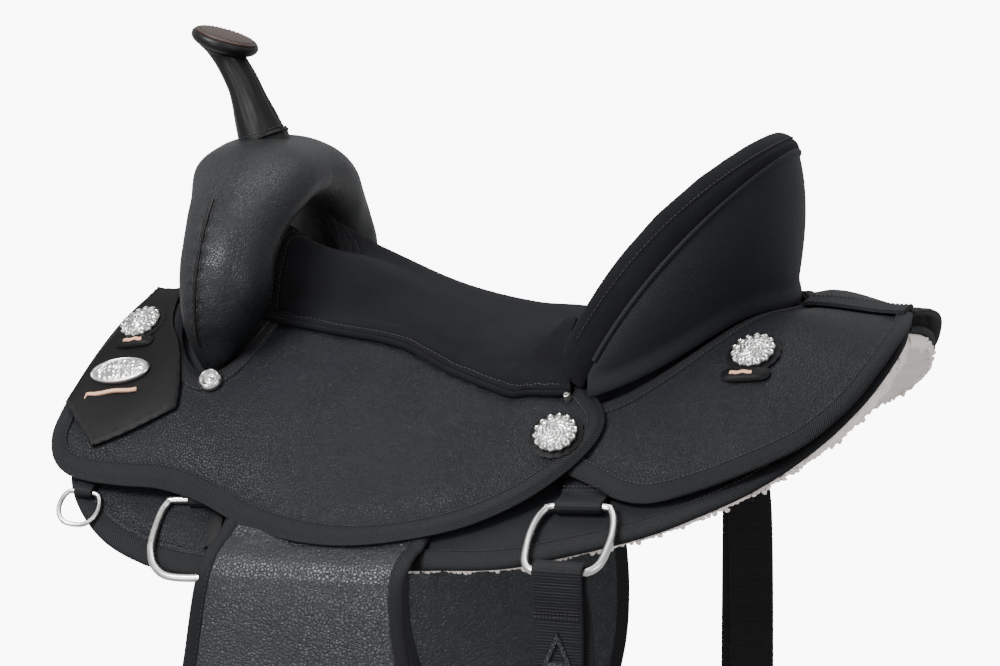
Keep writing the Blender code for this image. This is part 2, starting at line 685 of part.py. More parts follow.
def build_rigging():
    """The dees that take the cinch, the flank strap and the breast collar, and the two flank billets."""
    front = [(29, 0), (35, 3), (38, 12), (38.5, 32), (36, 48), (28, 62), (14, 70)]
    flank = [(20, 0), (25, 3), (29, 12), (31, 26), (30.5, 40), (28, 54), (21, 61), (9, 62.5)]
    breast = [(8, 0), (12.5, 2.5), (15, 9), (15, 17), (12, 24), (6, 28.5)]
    for sign in (LEFT, RIGHT):
        side = "right" if sign > 0 else "left"
        build_dee("front_dee", -0.184, 0.190, sign, 0.0058, DEE_WIRE, front, 0.036, 0.045)
        build_dee("breast_dee", -0.289, 0.191, sign, 0.0046, BREAST_DEE_WIRE, breast, 0.014, 0.020)
        centre, lie = build_dee("flank_dee", 0.110, 0.2110, sign, 0.0058, DEE_WIRE, flank, 0.036, 0.045)
        hang = centre + lie * 0.0620
        outward = Vector((0, sign, 0))
        loop = DEE_WIRE + 0.0022 + WEBBING_THICKNESS / 2
        path = [(loop * 0.42, -0.360), (loop * 0.42, -0.20), (loop * 0.42, -0.055), (loop * 0.85, -0.015)]
        turn = [math.radians(30 * k) for k in range(7)]
        back = [(-n, z) for n, z in reversed(path)]
        path += [(loop * math.cos(a), loop * math.sin(a)) for a in turn] + back
        points = [hang + outward * n + Vector((0, 0, z)) for n, z in path]
        billet = ribbon(f"flank_billet_{side}", points, WEBBING_WIDTH, Vector((1, 0, 0)), 0.0026, WEBBING)
        pivot(billet, hang)


# ---------------------------------------------------------------- fenders and stirrups

# The fender's cross-section from the fold down, as outward and up from FENDER_HINGE, and its two edges along the
# fold line, in millimetres.
FENDER = [
    (0, 0, -66, 69), (9, -2.5, -67, 69), (18, -8, -70, 69), (24, -18, -78, 68), (27, -34, -93, 69),
    (28, -55, -103, 71), (28, -80, -111, 75), (27.5, -125, -120, 79), (27, -175, -118, 77), (26, -225, -102, 66),
    (25, -275, -78, 48), (24.5, -320, -57, 31), (24, -355, -46, 21), (24, -390, -43, 19), (24, -440, -43, 19),
]


def hanging(sign):
    """Turns (along the fold, outward, up) at the fold into a place, for one side."""
    level = Vector((FENDER_AXIS.x, FENDER_AXIS.y, 0)).normalized()
    out = Vector((-level.y, level.x, 0))

    def place(along, outward, up, tilt=1.0):
        point = FENDER_HINGE + level * along + out * outward
        point.z += up + along * FENDER_AXIS.z / level.length * tilt
        return Vector((point.x, point.y * sign, point.z))
    return place


def build_fender(side, sign):
    """The fender and the strap below it, which loops round the stirrup's bolt, in one length of leather."""
    place = hanging(sign)
    loop = BOLT_RADIUS + 0.0012 + 0.0018
    middle = FENDER[-1][0]
    front = [(*row, FENDER_THICKNESS) for row in FENDER[3:]]
    drop = -FENDER_DROP * 1000
    bend = [math.radians(a) for a in (30, 0, -30, -60, -90, -120, -150, -180, -210)]
    edge = FENDER[-1][2:]
    ply = 0.0036
    neck = [(*row, 0.0030) for row in FENDER[:3]]
    rows = neck + front
    rows += [(middle + loop * 1000 * math.cos(a), drop + loop * 1000 * math.sin(a), *edge, ply) for a in bend]
    rows += [(middle - 4.2, drop + 18, *edge, ply), (middle - 4.4, drop + 60, *edge, ply),
             (middle - 4.4, drop + 110, *edge, ply)]
    rings = []
    for i, (out, up, start, end, thickness) in enumerate(rows):
        near, far = rows[max(i - 1, 0)], rows[min(i + 1, len(rows) - 1)]
        ahead = Vector((far[0] - near[0], far[1] - near[1])).normalized()
        square = Vector((-ahead.y, ahead.x)) * thickness / 2
        tilt = 1 - smooth(-up / 60)
        ring = []
        for along, half in ((start, 1), (start + (end - start) / 3, 1), (end - (end - start) / 3, 1), (end, 1),
                            (end, -1), (end - (end - start) / 3, -1), (start + (end - start) / 3, -1), (start, -1)):
            ring.append(place(along * MM, out * MM + square.x * half, up * MM + square.y * half, tilt))
        rings.append(ring)
    fender = loft(f"fender_{side}", rings, PEBBLED)
    pivot(fender, place(0, 0, 0))


def build_upper_strap(side, sign):
    """The part of the stirrup leather that lies under the jockey, from the tree's bar to the fender's fold."""
    top, bottom = [], []
    slant = FENDER_AXIS.y / FENDER_AXIS.x
    for row in (0.132, 0.150, 0.170, 0.190, 0.208, 0.222, 0.2325):
        above, below = [], []
        for share in (0, 0.25, 0.5, 0.75, 1):
            x = FENDER_HINGE.x + 0.060 * (share - 0.5)
            y = row + (x - FENDER_HINGE.x) * slant * (row - 0.132) / 0.1
            low = lower_form(x, y)
            middle = low + 0.0036 + (upper_form(x, y) - low - 0.0148) * smooth((0.215 - y) / 0.06)
            above.append(Vector((x, y * sign, middle + 0.0015)))
            below.append(Vector((x, y * sign, middle - 0.0015)))
        top.append(above)
        bottom.append(below)
    slab(f"stirrup_leather_{side}", top, bottom, SMOOTH_LEATHER)


def build_stirrup(side, sign):
    """A bell-shaped stirrup hung on a bolt through its two ears."""
    place = hanging(sign)
    middle = FENDER[-1][0] * MM
    half = [(-39, 16, 26), (-39.5, 0, 28), (-43, -30, 30), (-54, -68, 36), (-65, -104, 46), (-69, -126, 54),
            (-64, -139, 58), (-45, -144, 60), (-20, -145, 60)]
    rows = half + [(-s, z, w) for s, z, w in reversed(half)]
    rings = []
    for i, (along, up, width) in enumerate(rows):
        near, far = rows[max(i - 1, 0)], rows[min(i + 1, len(rows) - 1)]
        ahead = Vector((far[0] - near[0], far[1] - near[1])).normalized()
        square = Vector((-ahead.y, ahead.x)) * 0.004
        ring = []
        for w, t in ((-1, -0.6), (-0.8, -1), (0.8, -1), (1, -0.6), (1, 0.6), (0.8, 1), (-0.8, 1), (-1, 0.6)):
            ring.append(place(STIRRUP_CENTRE + along * MM + square.x * t, middle + w * width * MM / 2,
                              up * MM + square.y * t - FENDER_DROP, 0))
        rings.append(ring)
    stirrup = loft(f"stirrup_{side}", rings, STIRRUP_BLACK)
    bolt_place = place(STIRRUP_CENTRE, middle, -FENDER_DROP, 0)
    along = place(1, 0, 0, 0) - place(0, 0, 0, 0)
    reach = 0.0475
    hole = turned(f"bolt_hole_{side}", [(0, -reach), (0.0043, -reach), (0.0043, reach), (0, reach)], STEEL, bolt_place,
                  along, 20)
    cut(stirrup, hole)
    pivot(stirrup, bolt_place)
    head = [(0, -0.0475), (0.007, -0.0475), (0.007, -0.0445), (BOLT_RADIUS, -0.0445), (BOLT_RADIUS, 0.0445),
            (0.007, 0.0445), (0.007, 0.0475), (0, 0.0475)]
    turned(f"stirrup_bolt_{side}", head, STEEL, bolt_place, along, 20)


def main():
    for old in list(bpy.data.objects):
        bpy.data.objects.remove(old)
    build_bars()
    build_pommel()
    build_cantle()
    build_seat()
    build_panels()
    build_connector()
    build_conchos()
    build_rigging()
    for side, sign in SIDES.items():
        build_upper_strap(side, sign)
        build_fender(side, sign)
        build_stirrup(side, sign)


main()
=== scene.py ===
"""Looks for the western barrel saddle: leather, suede, webbing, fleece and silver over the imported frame.

Frame: metres, +Z up, -X towards the horn, -Y the near side. The form functions repeat the part's own
layout, so every panel here lies where its solid lies.
"""

import math
import random

import bmesh
import bpy
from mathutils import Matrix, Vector, noise
from mathutils.geometry import delaunay_2d_cdt


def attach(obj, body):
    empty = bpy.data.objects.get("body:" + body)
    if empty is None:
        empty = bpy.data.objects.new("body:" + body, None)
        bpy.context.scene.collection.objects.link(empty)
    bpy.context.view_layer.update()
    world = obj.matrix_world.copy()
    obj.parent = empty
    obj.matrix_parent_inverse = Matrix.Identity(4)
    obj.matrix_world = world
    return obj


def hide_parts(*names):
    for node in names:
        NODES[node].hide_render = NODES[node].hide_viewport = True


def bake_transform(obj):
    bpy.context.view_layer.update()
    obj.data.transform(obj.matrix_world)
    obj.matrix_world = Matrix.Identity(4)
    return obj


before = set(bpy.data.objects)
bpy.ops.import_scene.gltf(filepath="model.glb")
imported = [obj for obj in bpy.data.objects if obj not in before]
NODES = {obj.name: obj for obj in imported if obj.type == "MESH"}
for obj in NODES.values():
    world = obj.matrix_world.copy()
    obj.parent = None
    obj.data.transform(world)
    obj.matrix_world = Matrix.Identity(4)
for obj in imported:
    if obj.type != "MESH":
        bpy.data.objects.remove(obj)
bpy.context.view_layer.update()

MM = 0.001
SIDES = {"left": -1, "right": 1}
rng = random.Random(7)


# ---------------------------------------------------------------- layout, repeated from the part

SPINE_HEIGHT = 0.017
SPINE_RISE = 0.032
HALF_LENGTH = 0.305
BAR_BULGE = 0.042
JOCKEY_LIFT = 0.010
LEATHER = 0.004
LAYER_GAP = 0.0012
SKIRT_THICKNESS = 0.0046
FLEECE_THICKNESS = 0.011
FLEECE_EDGE = 0.0045
REAR_TOP = -LEATHER - LAYER_GAP
CANTLE_X = 0.060
CANTLE_R = 0.153
CANTLE_END = math.radians(79.5)
CANTLE_HEIGHT = 0.177
HORN_BASE = Vector((-0.2150, 0, 0.170))
HORN_TOP = Vector((-0.2415, 0, 0.2420))
CAP_TILT = math.radians(17.5)
CAP_PLACE = Vector((-0.2510, 0, 0.2430))
HINGE = Vector((-0.068, 0.236, -0.0983))
HINGE_AXIS = Vector((0.136, 0.0215, 0.0080)).normalized()
FENDER_DROP = 0.490
STIRRUP_CENTRE = -0.012


def smooth(t):
    t = min(1.0, max(0.0, t))
    return t * t * (3 - 2 * t)


def spine(x):
    return SPINE_HEIGHT + SPINE_RISE * (x / HALF_LENGTH) ** 2


def lower_form(x, y):
    """Height of the skirts' top."""
    slope = 0.15 + 0.30 * smooth((0.03 - x) / 0.33)
    return spine(x) - slope * (math.hypot(y, 0.015) - 0.015) - 1.3 * y * y


def bar_bulge(x, y):
    y = abs(y)
    across = (0.55 + 0.45 * smooth(y / 0.09)) * (1 - smooth((y - 0.09) / 0.16))
    along = (1 - 0.75 * smooth((x - 0.22) / 0.10)) * (1 - 0.7 * smooth((-0.22 - x) / 0.10))
    return across * along


def upper_form(x, y):
    """Height of the jockeys' top, which the tree's bars lift off the skirts."""
    return lower_form(x, y) + JOCKEY_LIFT + BAR_BULGE * bar_bulge(x, y)


def fleece_thickness(y):
    return FLEECE_THICKNESS + (FLEECE_EDGE - FLEECE_THICKNESS) * smooth((abs(y) - 0.11) / 0.09)


def normal_of(form, x, y):
    step = 0.002
    dx = (form(x + step, y) - form(x - step, y)) / (2 * step)
    dy = (form(x, y + step) - form(x, y - step)) / (2 * step)
    return Vector((-dx, -dy, 1)).normalized()


def on_form(form, x, y, offset):
    return Vector((x, y, form(x, y))) + normal_of(form, x, y) * offset


def catmull(p0, p1, p2, p3, t):
    return 0.5 * (
        2 * p1 + (p2 - p0) * t + (2 * p0 - 5 * p1 + 4 * p2 - p3) * t * t
        + (3 * p1 - p0 - 3 * p2 + p3) * t ** 3
    )


def smooth_outline(points, step):
    """A closed curve through points in millimetres, (x, y) or (x, y, 1) at a corner, with even steps."""
    count = len(points)
    places = [Vector((p[0] * MM, p[1] * MM)) for p in points]
    corner = [len(p) > 2 for p in points]
    outline = []
    for i in range(count):
        j = (i + 1) % count
        before = places[i] if corner[i] else places[i - 1]
        after = places[j] if corner[j] else places[(j + 1) % count]
        pieces = max(1, round((places[j] - places[i]).length / step))
        outline += [catmull(before, places[i], places[j], after, k / pieces) for k in range(pieces)]
    return outline


def smooth_path(points, pieces):
    """An open curve through points, with so many pieces between each two."""
    path = []
    for i in range(len(points) - 1):
        before, after = points[max(i - 1, 0)], points[min(i + 2, len(points) - 1)]
        path += [catmull(before, points[i], points[i + 1], after, k / pieces) for k in range(pieces)]
    return path + [points[-1].copy()]


def read_between(rows, t):
    i = max(0, min(int(t), len(rows) - 2))
    near = [rows[max(i - 1, 0)], rows[i], rows[i + 1], rows[min(i + 2, len(rows) - 1)]]
    return [catmull(*values, t - i) for values in zip(*near)]


def inside(point, outline):
    hit = False
    for i, a in enumerate(outline):
        b = outline[i - 1]
        if (a.y > point.y) != (b.y > point.y):
            if point.x < (b.x - a.x) * (point.y - a.y) / (b.y - a.y) + a.x:
                hit = not hit
    return hit


def mirrored(outline, sign):
    return [Vector((p.x, p.y * sign)) for p in outline]


def circle(centre, side, up, radius, count):
    """Points round a circle, from side towards up."""
    turns = [2 * math.pi * k / count for k in range(count)]
    return [centre + (side * math.cos(a) + up * math.sin(a)) * radius for a in turns]


# Outlines in plan view, in millimetres, for the right side.
SKIRT = [
    (-300, 60, 1), (-310, 120), (-311, 162), (-301, 191), (-270, 215), (-227, 230), (-178, 240),
    (-120, 248), (-60, 252), (0, 257), (61, 255), (110, 245), (167, 231), (205, 216), (235, 201),
    (262, 180), (285, 152), (301, 118), (309, 80), (311, 40), (306, 3, 1), (-140, 3, 1),
    (-200, 14), (-260, 38),
]
SEAT_JOCKEY = [
    (-262, 34, 1), (-293, 40, 1), (-307, 90), (-320, 148), (-321, 174), (-305, 188), (-262, 192),
    (-225, 194), (-190, 201), (-150, 216), (-105, 230), (-60, 239), (-18, 240), (20, 234),
    (55, 220), (82, 204), (102, 187), (111, 172), (107, 159), (92, 145, 1), (50, 130), (12, 122),
    (-27, 106), (-66, 92), (-125, 78), (-174, 72, 1), (-184, 108), (-196, 126), (-214, 134),
    (-232, 126), (-247, 104), (-256, 70),
]
REAR_JOCKEY = [
    (72, 156, 1), (96, 155), (126, 145), (157, 123), (183, 96), (203, 64), (216, 32), (220, 4, 1),
    (306, 4, 1), (312, 45), (311, 78), (306, 112), (294, 149), (272, 179), (246, 195), (212, 206),
    (177, 214), (155, 216), (134, 212), (112, 203), (88, 194), (70, 184, 1),
]
PLATE = [
    (-290, 40, 1), (-300, 82), (-314, 122), (-322, 150, 1), (-289, 175, 1), (-236, 158),
    (-228, 150), (-239, 118), (-256, 90), (-266, 48, 1),
]
SWELL = [
    (0.000, 0.178, 0.000, 0.122, -0.212, 0.054),
    (0.045, 0.173, 0.032, 0.119, -0.208, 0.052),
    (0.094, 0.149, 0.060, 0.106, -0.201, 0.046),
    (0.131, 0.118, 0.081, 0.080, -0.199, 0.042),
    (0.150, 0.085, 0.092, 0.055, -0.200, 0.037),
    (0.148, 0.052, 0.097, 0.038, -0.205, 0.029),
    (0.134, 0.028, 0.102, 0.024, -0.210, 0.020),
    (0.121, 0.009, 0.107, 0.010, -0.213, 0.010),
]
SEAT = [
    [(-151, 0, 88), (-163, 25, 97), (-183, 46, 114), (-187, 66, 93), (-187, 87, 44)],
    [(-122, 0, 83), (-126, 30, 86), (-130, 54, 80), (-129, 77, 58), (-130, 98, 37)],
    [(-66, 0, 62), (-66, 36, 61), (-66, 66, 55), (-66, 90, 46), (-66, 112, 33)],
    [(-15, 0, 47), (-15, 44, 46), (-15, 80, 42), (-15, 110, 33), (-15, 136, 19)],
    [(36, 0, 42), (36, 48, 42), (36, 90, 38), (36, 124, 28), (35, 152, 10)],
]
# The fender's section below its fold: outward, up, front edge, rear edge, in millimetres from the hinge.
FENDER = [
    (24, -18, -104, 68), (27, -34, -106, 69), (28, -55, -109, 71), (28, -80, -113, 75),
    (27.5, -125, -120, 79), (27, -175, -118, 77), (26, -225, -102, 66), (25, -275, -78, 48),
    (24.5, -320, -57, 31), (24, -355, -46, 21), (24, -390, -43, 19), (24, -440, -43, 19),
]


def rim_seam(angle):
    return CANTLE_HEIGHT * max(0.0, 1 - (angle / CANTLE_END) ** 2) ** 0.8


def rim_place(angle, inset, rise=0.0):
    """A point on the cantle: inset from its outer face in plan view, and rise square to the back seam."""
    r = CANTLE_R - inset
    step = math.radians(0.5)
    run = r * 2 * step
    climb = rim_seam(angle + step) - rim_seam(angle - step)
    square = math.hypot(run, climb)
    angle -= (climb / square) * rise / r
    height = rim_seam(angle + (climb / square) * rise / r) + rise * run / square
    return Vector((CANTLE_X + r * math.cos(angle), r * math.sin(angle), height))


def swell_point(t, turn, grow=0.0):
    """A point on the swell's skin, for t from -7 at the left tip to 7 at the right.

    turn is 0 at the rear, pi/2 outside and pi at the front.
    """
    outer_y, outer_z, inner_y, inner_z, middle, half = read_between(SWELL, abs(t))
    sign = -1 if t < 0 else 1
    outer = Vector((middle, outer_y * sign, outer_z))
    inner = Vector((middle, inner_y * sign, inner_z))
    centre, up = (outer + inner) / 2, (outer - inner) / 2
    up = up * (up.length + grow) / up.length
    if math.cos(turn) > 0:
        half -= 0.0105 * math.exp(-((abs(t) - 2.7) / 1.2) ** 2) * smooth(math.cos(turn) / 0.5)
    return centre + Vector(((half + grow) * math.cos(turn), 0, 0)) + up * math.sin(turn)


def hanging(sign):
    """Turns (along the fold, outward, up) at the fender's hinge into a place, for one side."""
    level = Vector((HINGE_AXIS.x, HINGE_AXIS.y, 0)).normalized()
    out = Vector((-level.y, level.x, 0))

    def place(along, outward, up, tilt=1.0):
        point = HINGE + level * along + out * outward
        point.z += up + along * HINGE_AXIS.z / level.length * tilt
        return Vector((point.x, point.y * sign, point.z))
    return place


# ---------------------------------------------------------------- materials

def new_material(name):
    made = bpy.data.materials.new(f"{name}_look")
    made.use_nodes = True
    tree = made.node_tree
    return made, tree, tree.nodes["Principled BSDF"]


def feed(tree, made, inputs):
    """Links or sets a node's inputs, each by its name or its number."""
    for key, value in inputs.items():
        if isinstance(value, bpy.types.NodeSocket):
            tree.links.new(value, made.inputs[key])
        else:
            made.inputs[key].default_value = value


def node(tree, kind, settings=None, **inputs):
    """A new node; an input named i0, i1 and so on is meant by its number."""
    made = tree.nodes.new(kind)
    for key, value in (settings or {}).items():
        setattr(made, key, value)
    feed(tree, made, {int(key[1:]) if key[1:].isdigit() else key: value for key, value in inputs.items()})
    return made


def places(tree):
    """Object coordinates."""
    return node(tree, "ShaderNodeTexCoord").outputs["Object"]


def lay(tree):
    """Metres along and across a strap or a panel, kept on the mesh as an attribute."""
    return node(tree, "ShaderNodeAttribute", {"attribute_name": "lay"}).outputs["Vector"]


def speckle(tree, vector, scale, detail=3.0, rough=0.55):
    made = node(tree, "ShaderNodeTexNoise", Vector=vector, Scale=scale, Detail=detail, Roughness=rough)
    return made.outputs["Fac"]


def between(tree, value, low, high, to_low=0.0, to_high=1.0):
    made = node(tree, "ShaderNodeMapRange", i0=value, i1=low, i2=high, i3=to_low, i4=to_high)
    return made.outputs["Result"]


def sums(tree, kind, a, b=0.0):
    return node(tree, "ShaderNodeMath", {"operation": kind}, i0=a, i1=b).outputs[0]


def tint(tree, share, low, high):
    """A colour from low to high by share."""
    low = low if isinstance(low, bpy.types.NodeSocket) else (*low, 1)
    return node(tree, "ShaderNodeMix", {"data_type": "RGBA"}, Factor=share, i6=low, i7=(*high, 1)).outputs[2]


def bump(tree, height, distance, strength=1.0, normal=None):
    made = node(tree, "ShaderNodeBump", Height=height, Distance=distance, Strength=strength)
    if normal is not None:
        tree.links.new(normal, made.inputs["Normal"])
    return made.outputs["Normal"]


def edge_highlight_and_patina(tree):
    """0 on plain surfaces, up to 1 at full tone, kept on the mesh as an attribute: on leather a painted highlight
    along the edges, on metal the patina in engraved hollows.
    """
    return node(tree, "ShaderNodeAttribute", {"attribute_name": "tone"}).outputs["Fac"]


def leather(name, low, high, rough, cell, depth, coat=0.0, fine=0.00006, shine=0.22):
    """Grained leather: cells of that size in metres, with creases between them depth deep."""
    made, tree, shader = new_material(name)
    where = places(tree)
    warp = node(tree, "ShaderNodeTexNoise", Vector=where, Scale=260.0, Detail=2.0).outputs["Color"]
    shift = node(tree, "ShaderNodeVectorMath", {"operation": "SCALE"}, i0=warp, Scale=cell * 0.8)
    moved = node(tree, "ShaderNodeVectorMath", {"operation": "ADD"}, i0=where, i1=shift.outputs[0])
    grain = {"Vector": moved.outputs[0], "Scale": 1 / cell}
    cells = node(tree, "ShaderNodeTexVoronoi", {"feature": "SMOOTH_F1"}, Smoothness=0.35, **grain)
    cracks = node(tree, "ShaderNodeTexVoronoi", {"feature": "DISTANCE_TO_EDGE"}, **grain)
    crease = between(tree, cracks.outputs["Distance"], 0.0, 0.16)
    dome = between(tree, cells.outputs["Distance"], 0.0, 0.75, 1.0, 0.0)
    height = node(tree, "ShaderNodeMath", {"operation": "MULTIPLY_ADD"}, i0=dome, i1=0.45, i2=crease)
    normal = bump(tree, speckle(tree, where, 2600.0, 2.0), fine, 0.6)
    normal = bump(tree, height.outputs[0], depth, 0.9, normal)
    patches = speckle(tree, where, 18.0, 4.0)
    base = between(tree, patches, 0.3, 0.7, rough - 0.05, rough + 0.07)
    top = between(tree, crease, 0.0, 1.0, 0.14, 0.0)
    # The tone attribute lightens the colour up to 2.2 times the high colour: a painted highlight along leather
    # edges.
    feed(tree, shader, {
        "Base Color": tint(tree, edge_highlight_and_patina(tree), tint(tree, patches, low, high), [c * 2.2 for c in high]),
        "Roughness": sums(tree, "ADD", base, top),
        "Normal": normal,
        "Specular IOR Level": shine,
        "Coat Weight": coat,
        "Coat Roughness": 0.28,
    })
    return made


def woven(name, low, high, rough, pitch, angle, depth, cross=0.5):
    """Cloth whose ribs lie at an angle to the strap, pitch apart in metres, crossed by finer threads."""
    made, tree, shader = new_material(name)
    way = lay(tree)
    turned = node(tree, "ShaderNodeVectorRotate", {"rotation_type": "Z_AXIS"}, Vector=way, Angle=angle)
    parts = node(tree, "ShaderNodeSeparateXYZ", Vector=turned.outputs[0])
    rib = sums(tree, "SINE", sums(tree, "MULTIPLY", parts.outputs["X"], 2 * math.pi / pitch))
    thread = sums(tree, "SINE", sums(tree, "MULTIPLY", parts.outputs["Y"], 2 * math.pi / (pitch * 0.7)))
    weave = sums(tree, "ADD", rib, sums(tree, "MULTIPLY", thread, cross))
    height = between(tree, weave, -1.0 - cross, 1.0 + cross)
    normal = bump(tree, speckle(tree, way, 900.0, 3.0), 0.00012, 0.5)
    patches = speckle(tree, way, 30.0, 3.0)
    # The colour follows the weave's height, darker in the grooves between ribs and threads: painted shade; the
    # patches vary it at random.
    share = sums(tree, "MULTIPLY", height, between(tree, patches, 0.2, 0.8, 0.7, 1.1))
    feed(tree, shader, {
        "Base Color": tint(tree, share, low, high),
        "Roughness": between(tree, height, 0.0, 1.0, rough + 0.12, rough - 0.06),
        "Normal": bump(tree, height, depth, 0.9, normal),
        "Sheen Weight": 0.02,
        "Sheen Roughness": 0.45,
        "Sheen Tint": (0.55, 0.58, 0.65, 1),
        "Specular IOR Level": 0.15,
    })
    return made


def suede(name, low, high):
    """Short nap, brushed in patches."""
    made, tree, shader = new_material(name)
    where = places(tree)
    nap = speckle(tree, where, 1500.0, 4.0, 0.7)
    brushed = speckle(tree, where, 26.0, 5.0, 0.6)
    share = sums(tree, "ADD", sums(tree, "MULTIPLY", nap, 0.55), sums(tree, "MULTIPLY", brushed, 0.45))
    normal = bump(tree, brushed, 0.0012, 0.35)
    feed(tree, shader, {
        "Base Color": tint(tree, between(tree, share, 0.35, 0.68), low, high),
        "Roughness": between(tree, nap, 0.3, 0.7, 0.86, 1.0),
        "Normal": bump(tree, nap, 0.00035, 0.7, normal),
        "Specular IOR Level": 0.12,
        "Sheen Weight": 0.02,
        "Sheen Roughness": 0.6,
        "Sheen Tint": (0.5, 0.52, 0.6, 1),
    })
    return made


def wool(name, low, high):
    """Curly pile."""
    made, tree, shader = new_material(name)
    where = places(tree)
    curls = speckle(tree, where, 420.0, 5.0, 0.65)
    locks = speckle(tree, where, 60.0, 4.0)
    share = sums(tree, "ADD", sums(tree, "MULTIPLY", curls, 0.6), sums(tree, "MULTIPLY", locks, 0.4))
    normal = bump(tree, locks, 0.003, 0.5)
    feed(tree, shader, {
        "Base Color": tint(tree, between(tree, share, 0.32, 0.66), low, high),
        "Roughness": between(tree, curls, 0.3, 0.7, 0.9, 1.0),
        "Normal": bump(tree, curls, 0.0014, 0.8, normal),
        "Sheen Weight": 0.5,
        "Sheen Roughness": 0.5,
        "Specular IOR Level": 0.1,
    })
    return made


def metal(name, bright, dark, rough, scratch):
    """Polished metal with fine scratches; the tone attribute darkens what engraving leaves low."""
    made, tree, shader = new_material(name)
    where = places(tree)
    streak = node(tree, "ShaderNodeMapping", Vector=where, Scale=(1.0, 1.0, 9.0))
    lines = speckle(tree, streak.outputs[0], 700.0, 3.0)
    haze = speckle(tree, where, 60.0, 3.0)
    rubbed = between(tree, haze, 0.3, 0.7, rough - 0.04, rough + 0.08)
    feed(tree, shader, {
        "Base Color": tint(tree, edge_highlight_and_patina(tree), bright, dark),
        "Roughness": sums(tree, "ADD", rubbed, sums(tree, "MULTIPLY", edge_highlight_and_patina(tree), 0.35)),
        "Normal": bump(tree, lines, scratch, 0.5),
        "Metallic": 1.0,
    })
    return made


def moulded(name, low, high, rough, grain, metallic=0.0):
    """A hard matt surface with a fine texture."""
    made, tree, shader = new_material(name)
    where = places(tree)
    fine = speckle(tree, where, grain, 3.0)
    patches = speckle(tree, where, 22.0, 4.0)
    feed(tree, shader, {
        "Base Color": tint(tree, patches, low, high),
        "Roughness": between(tree, fine, 0.3, 0.7, rough - 0.05, rough + 0.08),
        "Normal": bump(tree, fine, 0.00018, 0.6),
        "Metallic": metallic,
    })
    return made


PEBBLED = leather("pebbled_leather",
                  (0.0042, 0.0051, 0.0066), (0.0074, 0.0088, 0.0110), 0.43, 0.0021, 0.00030, shine=0.15)
COARSE = leather("coarse_leather",
                 (0.0055, 0.0068, 0.0084), (0.0095, 0.0115, 0.0140), 0.36, 0.0026, 0.00042, shine=0.42)
SWELL_HIDE = leather("swell_leather",
                     (0.0028, 0.0033, 0.0041), (0.0050, 0.0059, 0.0071), 0.36, 0.0019, 0.00026, shine=0.30)
SMOOTH_LEATHER = leather("smooth_leather",
                         (0.0025, 0.0025, 0.0028), (0.0045, 0.0045, 0.005), 0.34, 0.0010, 0.000015, 0.03, 0.00002)
SATIN = leather("satin_leather",
                (0.0022, 0.0022, 0.0024), (0.0038, 0.0038, 0.0042), 0.46, 0.0010, 0.000015, 0, 0.00002, 0.10)
BROWN = leather("brown_leather",
                (0.020, 0.0095, 0.0065), (0.034, 0.015, 0.0095), 0.36, 0.0012, 0.00006, 0.2)
LACE = leather("copper_lace", (0.50, 0.26, 0.17), (0.66, 0.38, 0.26), 0.42, 0.0008, 0.00008)
SUEDE = suede("suede", (0.0015, 0.0016, 0.0020), (0.0055, 0.0058, 0.0068))
CORDURA = woven("cordura",
                (0.0025, 0.0028, 0.0034), (0.0085, 0.0095, 0.012), 0.62, 0.0011, 0.785, 0.00022, 0.8)
BACK_CLOTH = woven("back_cloth",
                   (0.0022, 0.0025, 0.0034), (0.0100, 0.0112, 0.0150), 0.55, 0.0017, 0.785, 0.00030, 0.9)
BINDING = woven("binding",
                (0.0020, 0.0022, 0.0026), (0.0092, 0.0098, 0.0112), 0.62, 0.0017, 0.785, 0.00034, 0.25)
RIBBED = woven("ribbed_webbing",
               (0.0022, 0.0024, 0.0028), (0.0100, 0.0105, 0.0118), 0.55, 0.0011, 1.5708, 0.00016, 0.5)
THREAD = moulded("thread", (0.006, 0.006, 0.007), (0.012, 0.012, 0.013), 0.6, 3000.0)
FLEECE = wool("fleece", (0.78, 0.66, 0.60), (0.96, 0.90, 0.86))
STEEL = metal("stainless_steel", (0.66, 0.65, 0.63), (0.30, 0.29, 0.28), 0.24, 0.00003)
SILVER = metal("engraved_silver", (0.86, 0.85, 0.83), (0.11, 0.105, 0.10), 0.16, 0.00002)
TREE = moulded("tree_fibreglass", (0.36, 0.29, 0.18), (0.50, 0.40, 0.26), 0.55, 500.0)
IRON = moulded("horn_iron", (0.16, 0.16, 0.17), (0.24, 0.24, 0.25), 0.45, 900.0, 1.0)
MOULDED = moulded("moulded_black", (0.010, 0.010, 0.011), (0.020, 0.020, 0.022), 0.42, 1600.0)
FLOOR = moulded("floor", (0.88, 0.88, 0.89), (0.91, 0.91, 0.92), 0.85, 40.0)
glow = FLOOR.node_tree.nodes["Principled BSDF"].inputs
glow["Emission Color"].default_value = (0.97, 0.975, 1.0, 1)
glow["Emission Strength"].default_value = 9.0

# The part's material slot of each finish whose name isn't the slot's own.
SLOT_OF = {
    "coarse_leather": "pebbled_leather", "swell_leather": "pebbled_leather",
    "satin_leather": "smooth_leather", "copper_lace": "brown_leather", "back_cloth": "cordura",
    "binding": "webbing", "ribbed_webbing": "webbing", "thread": "webbing", "tree_fibreglass": "tree",
}


# ---------------------------------------------------------------- meshes

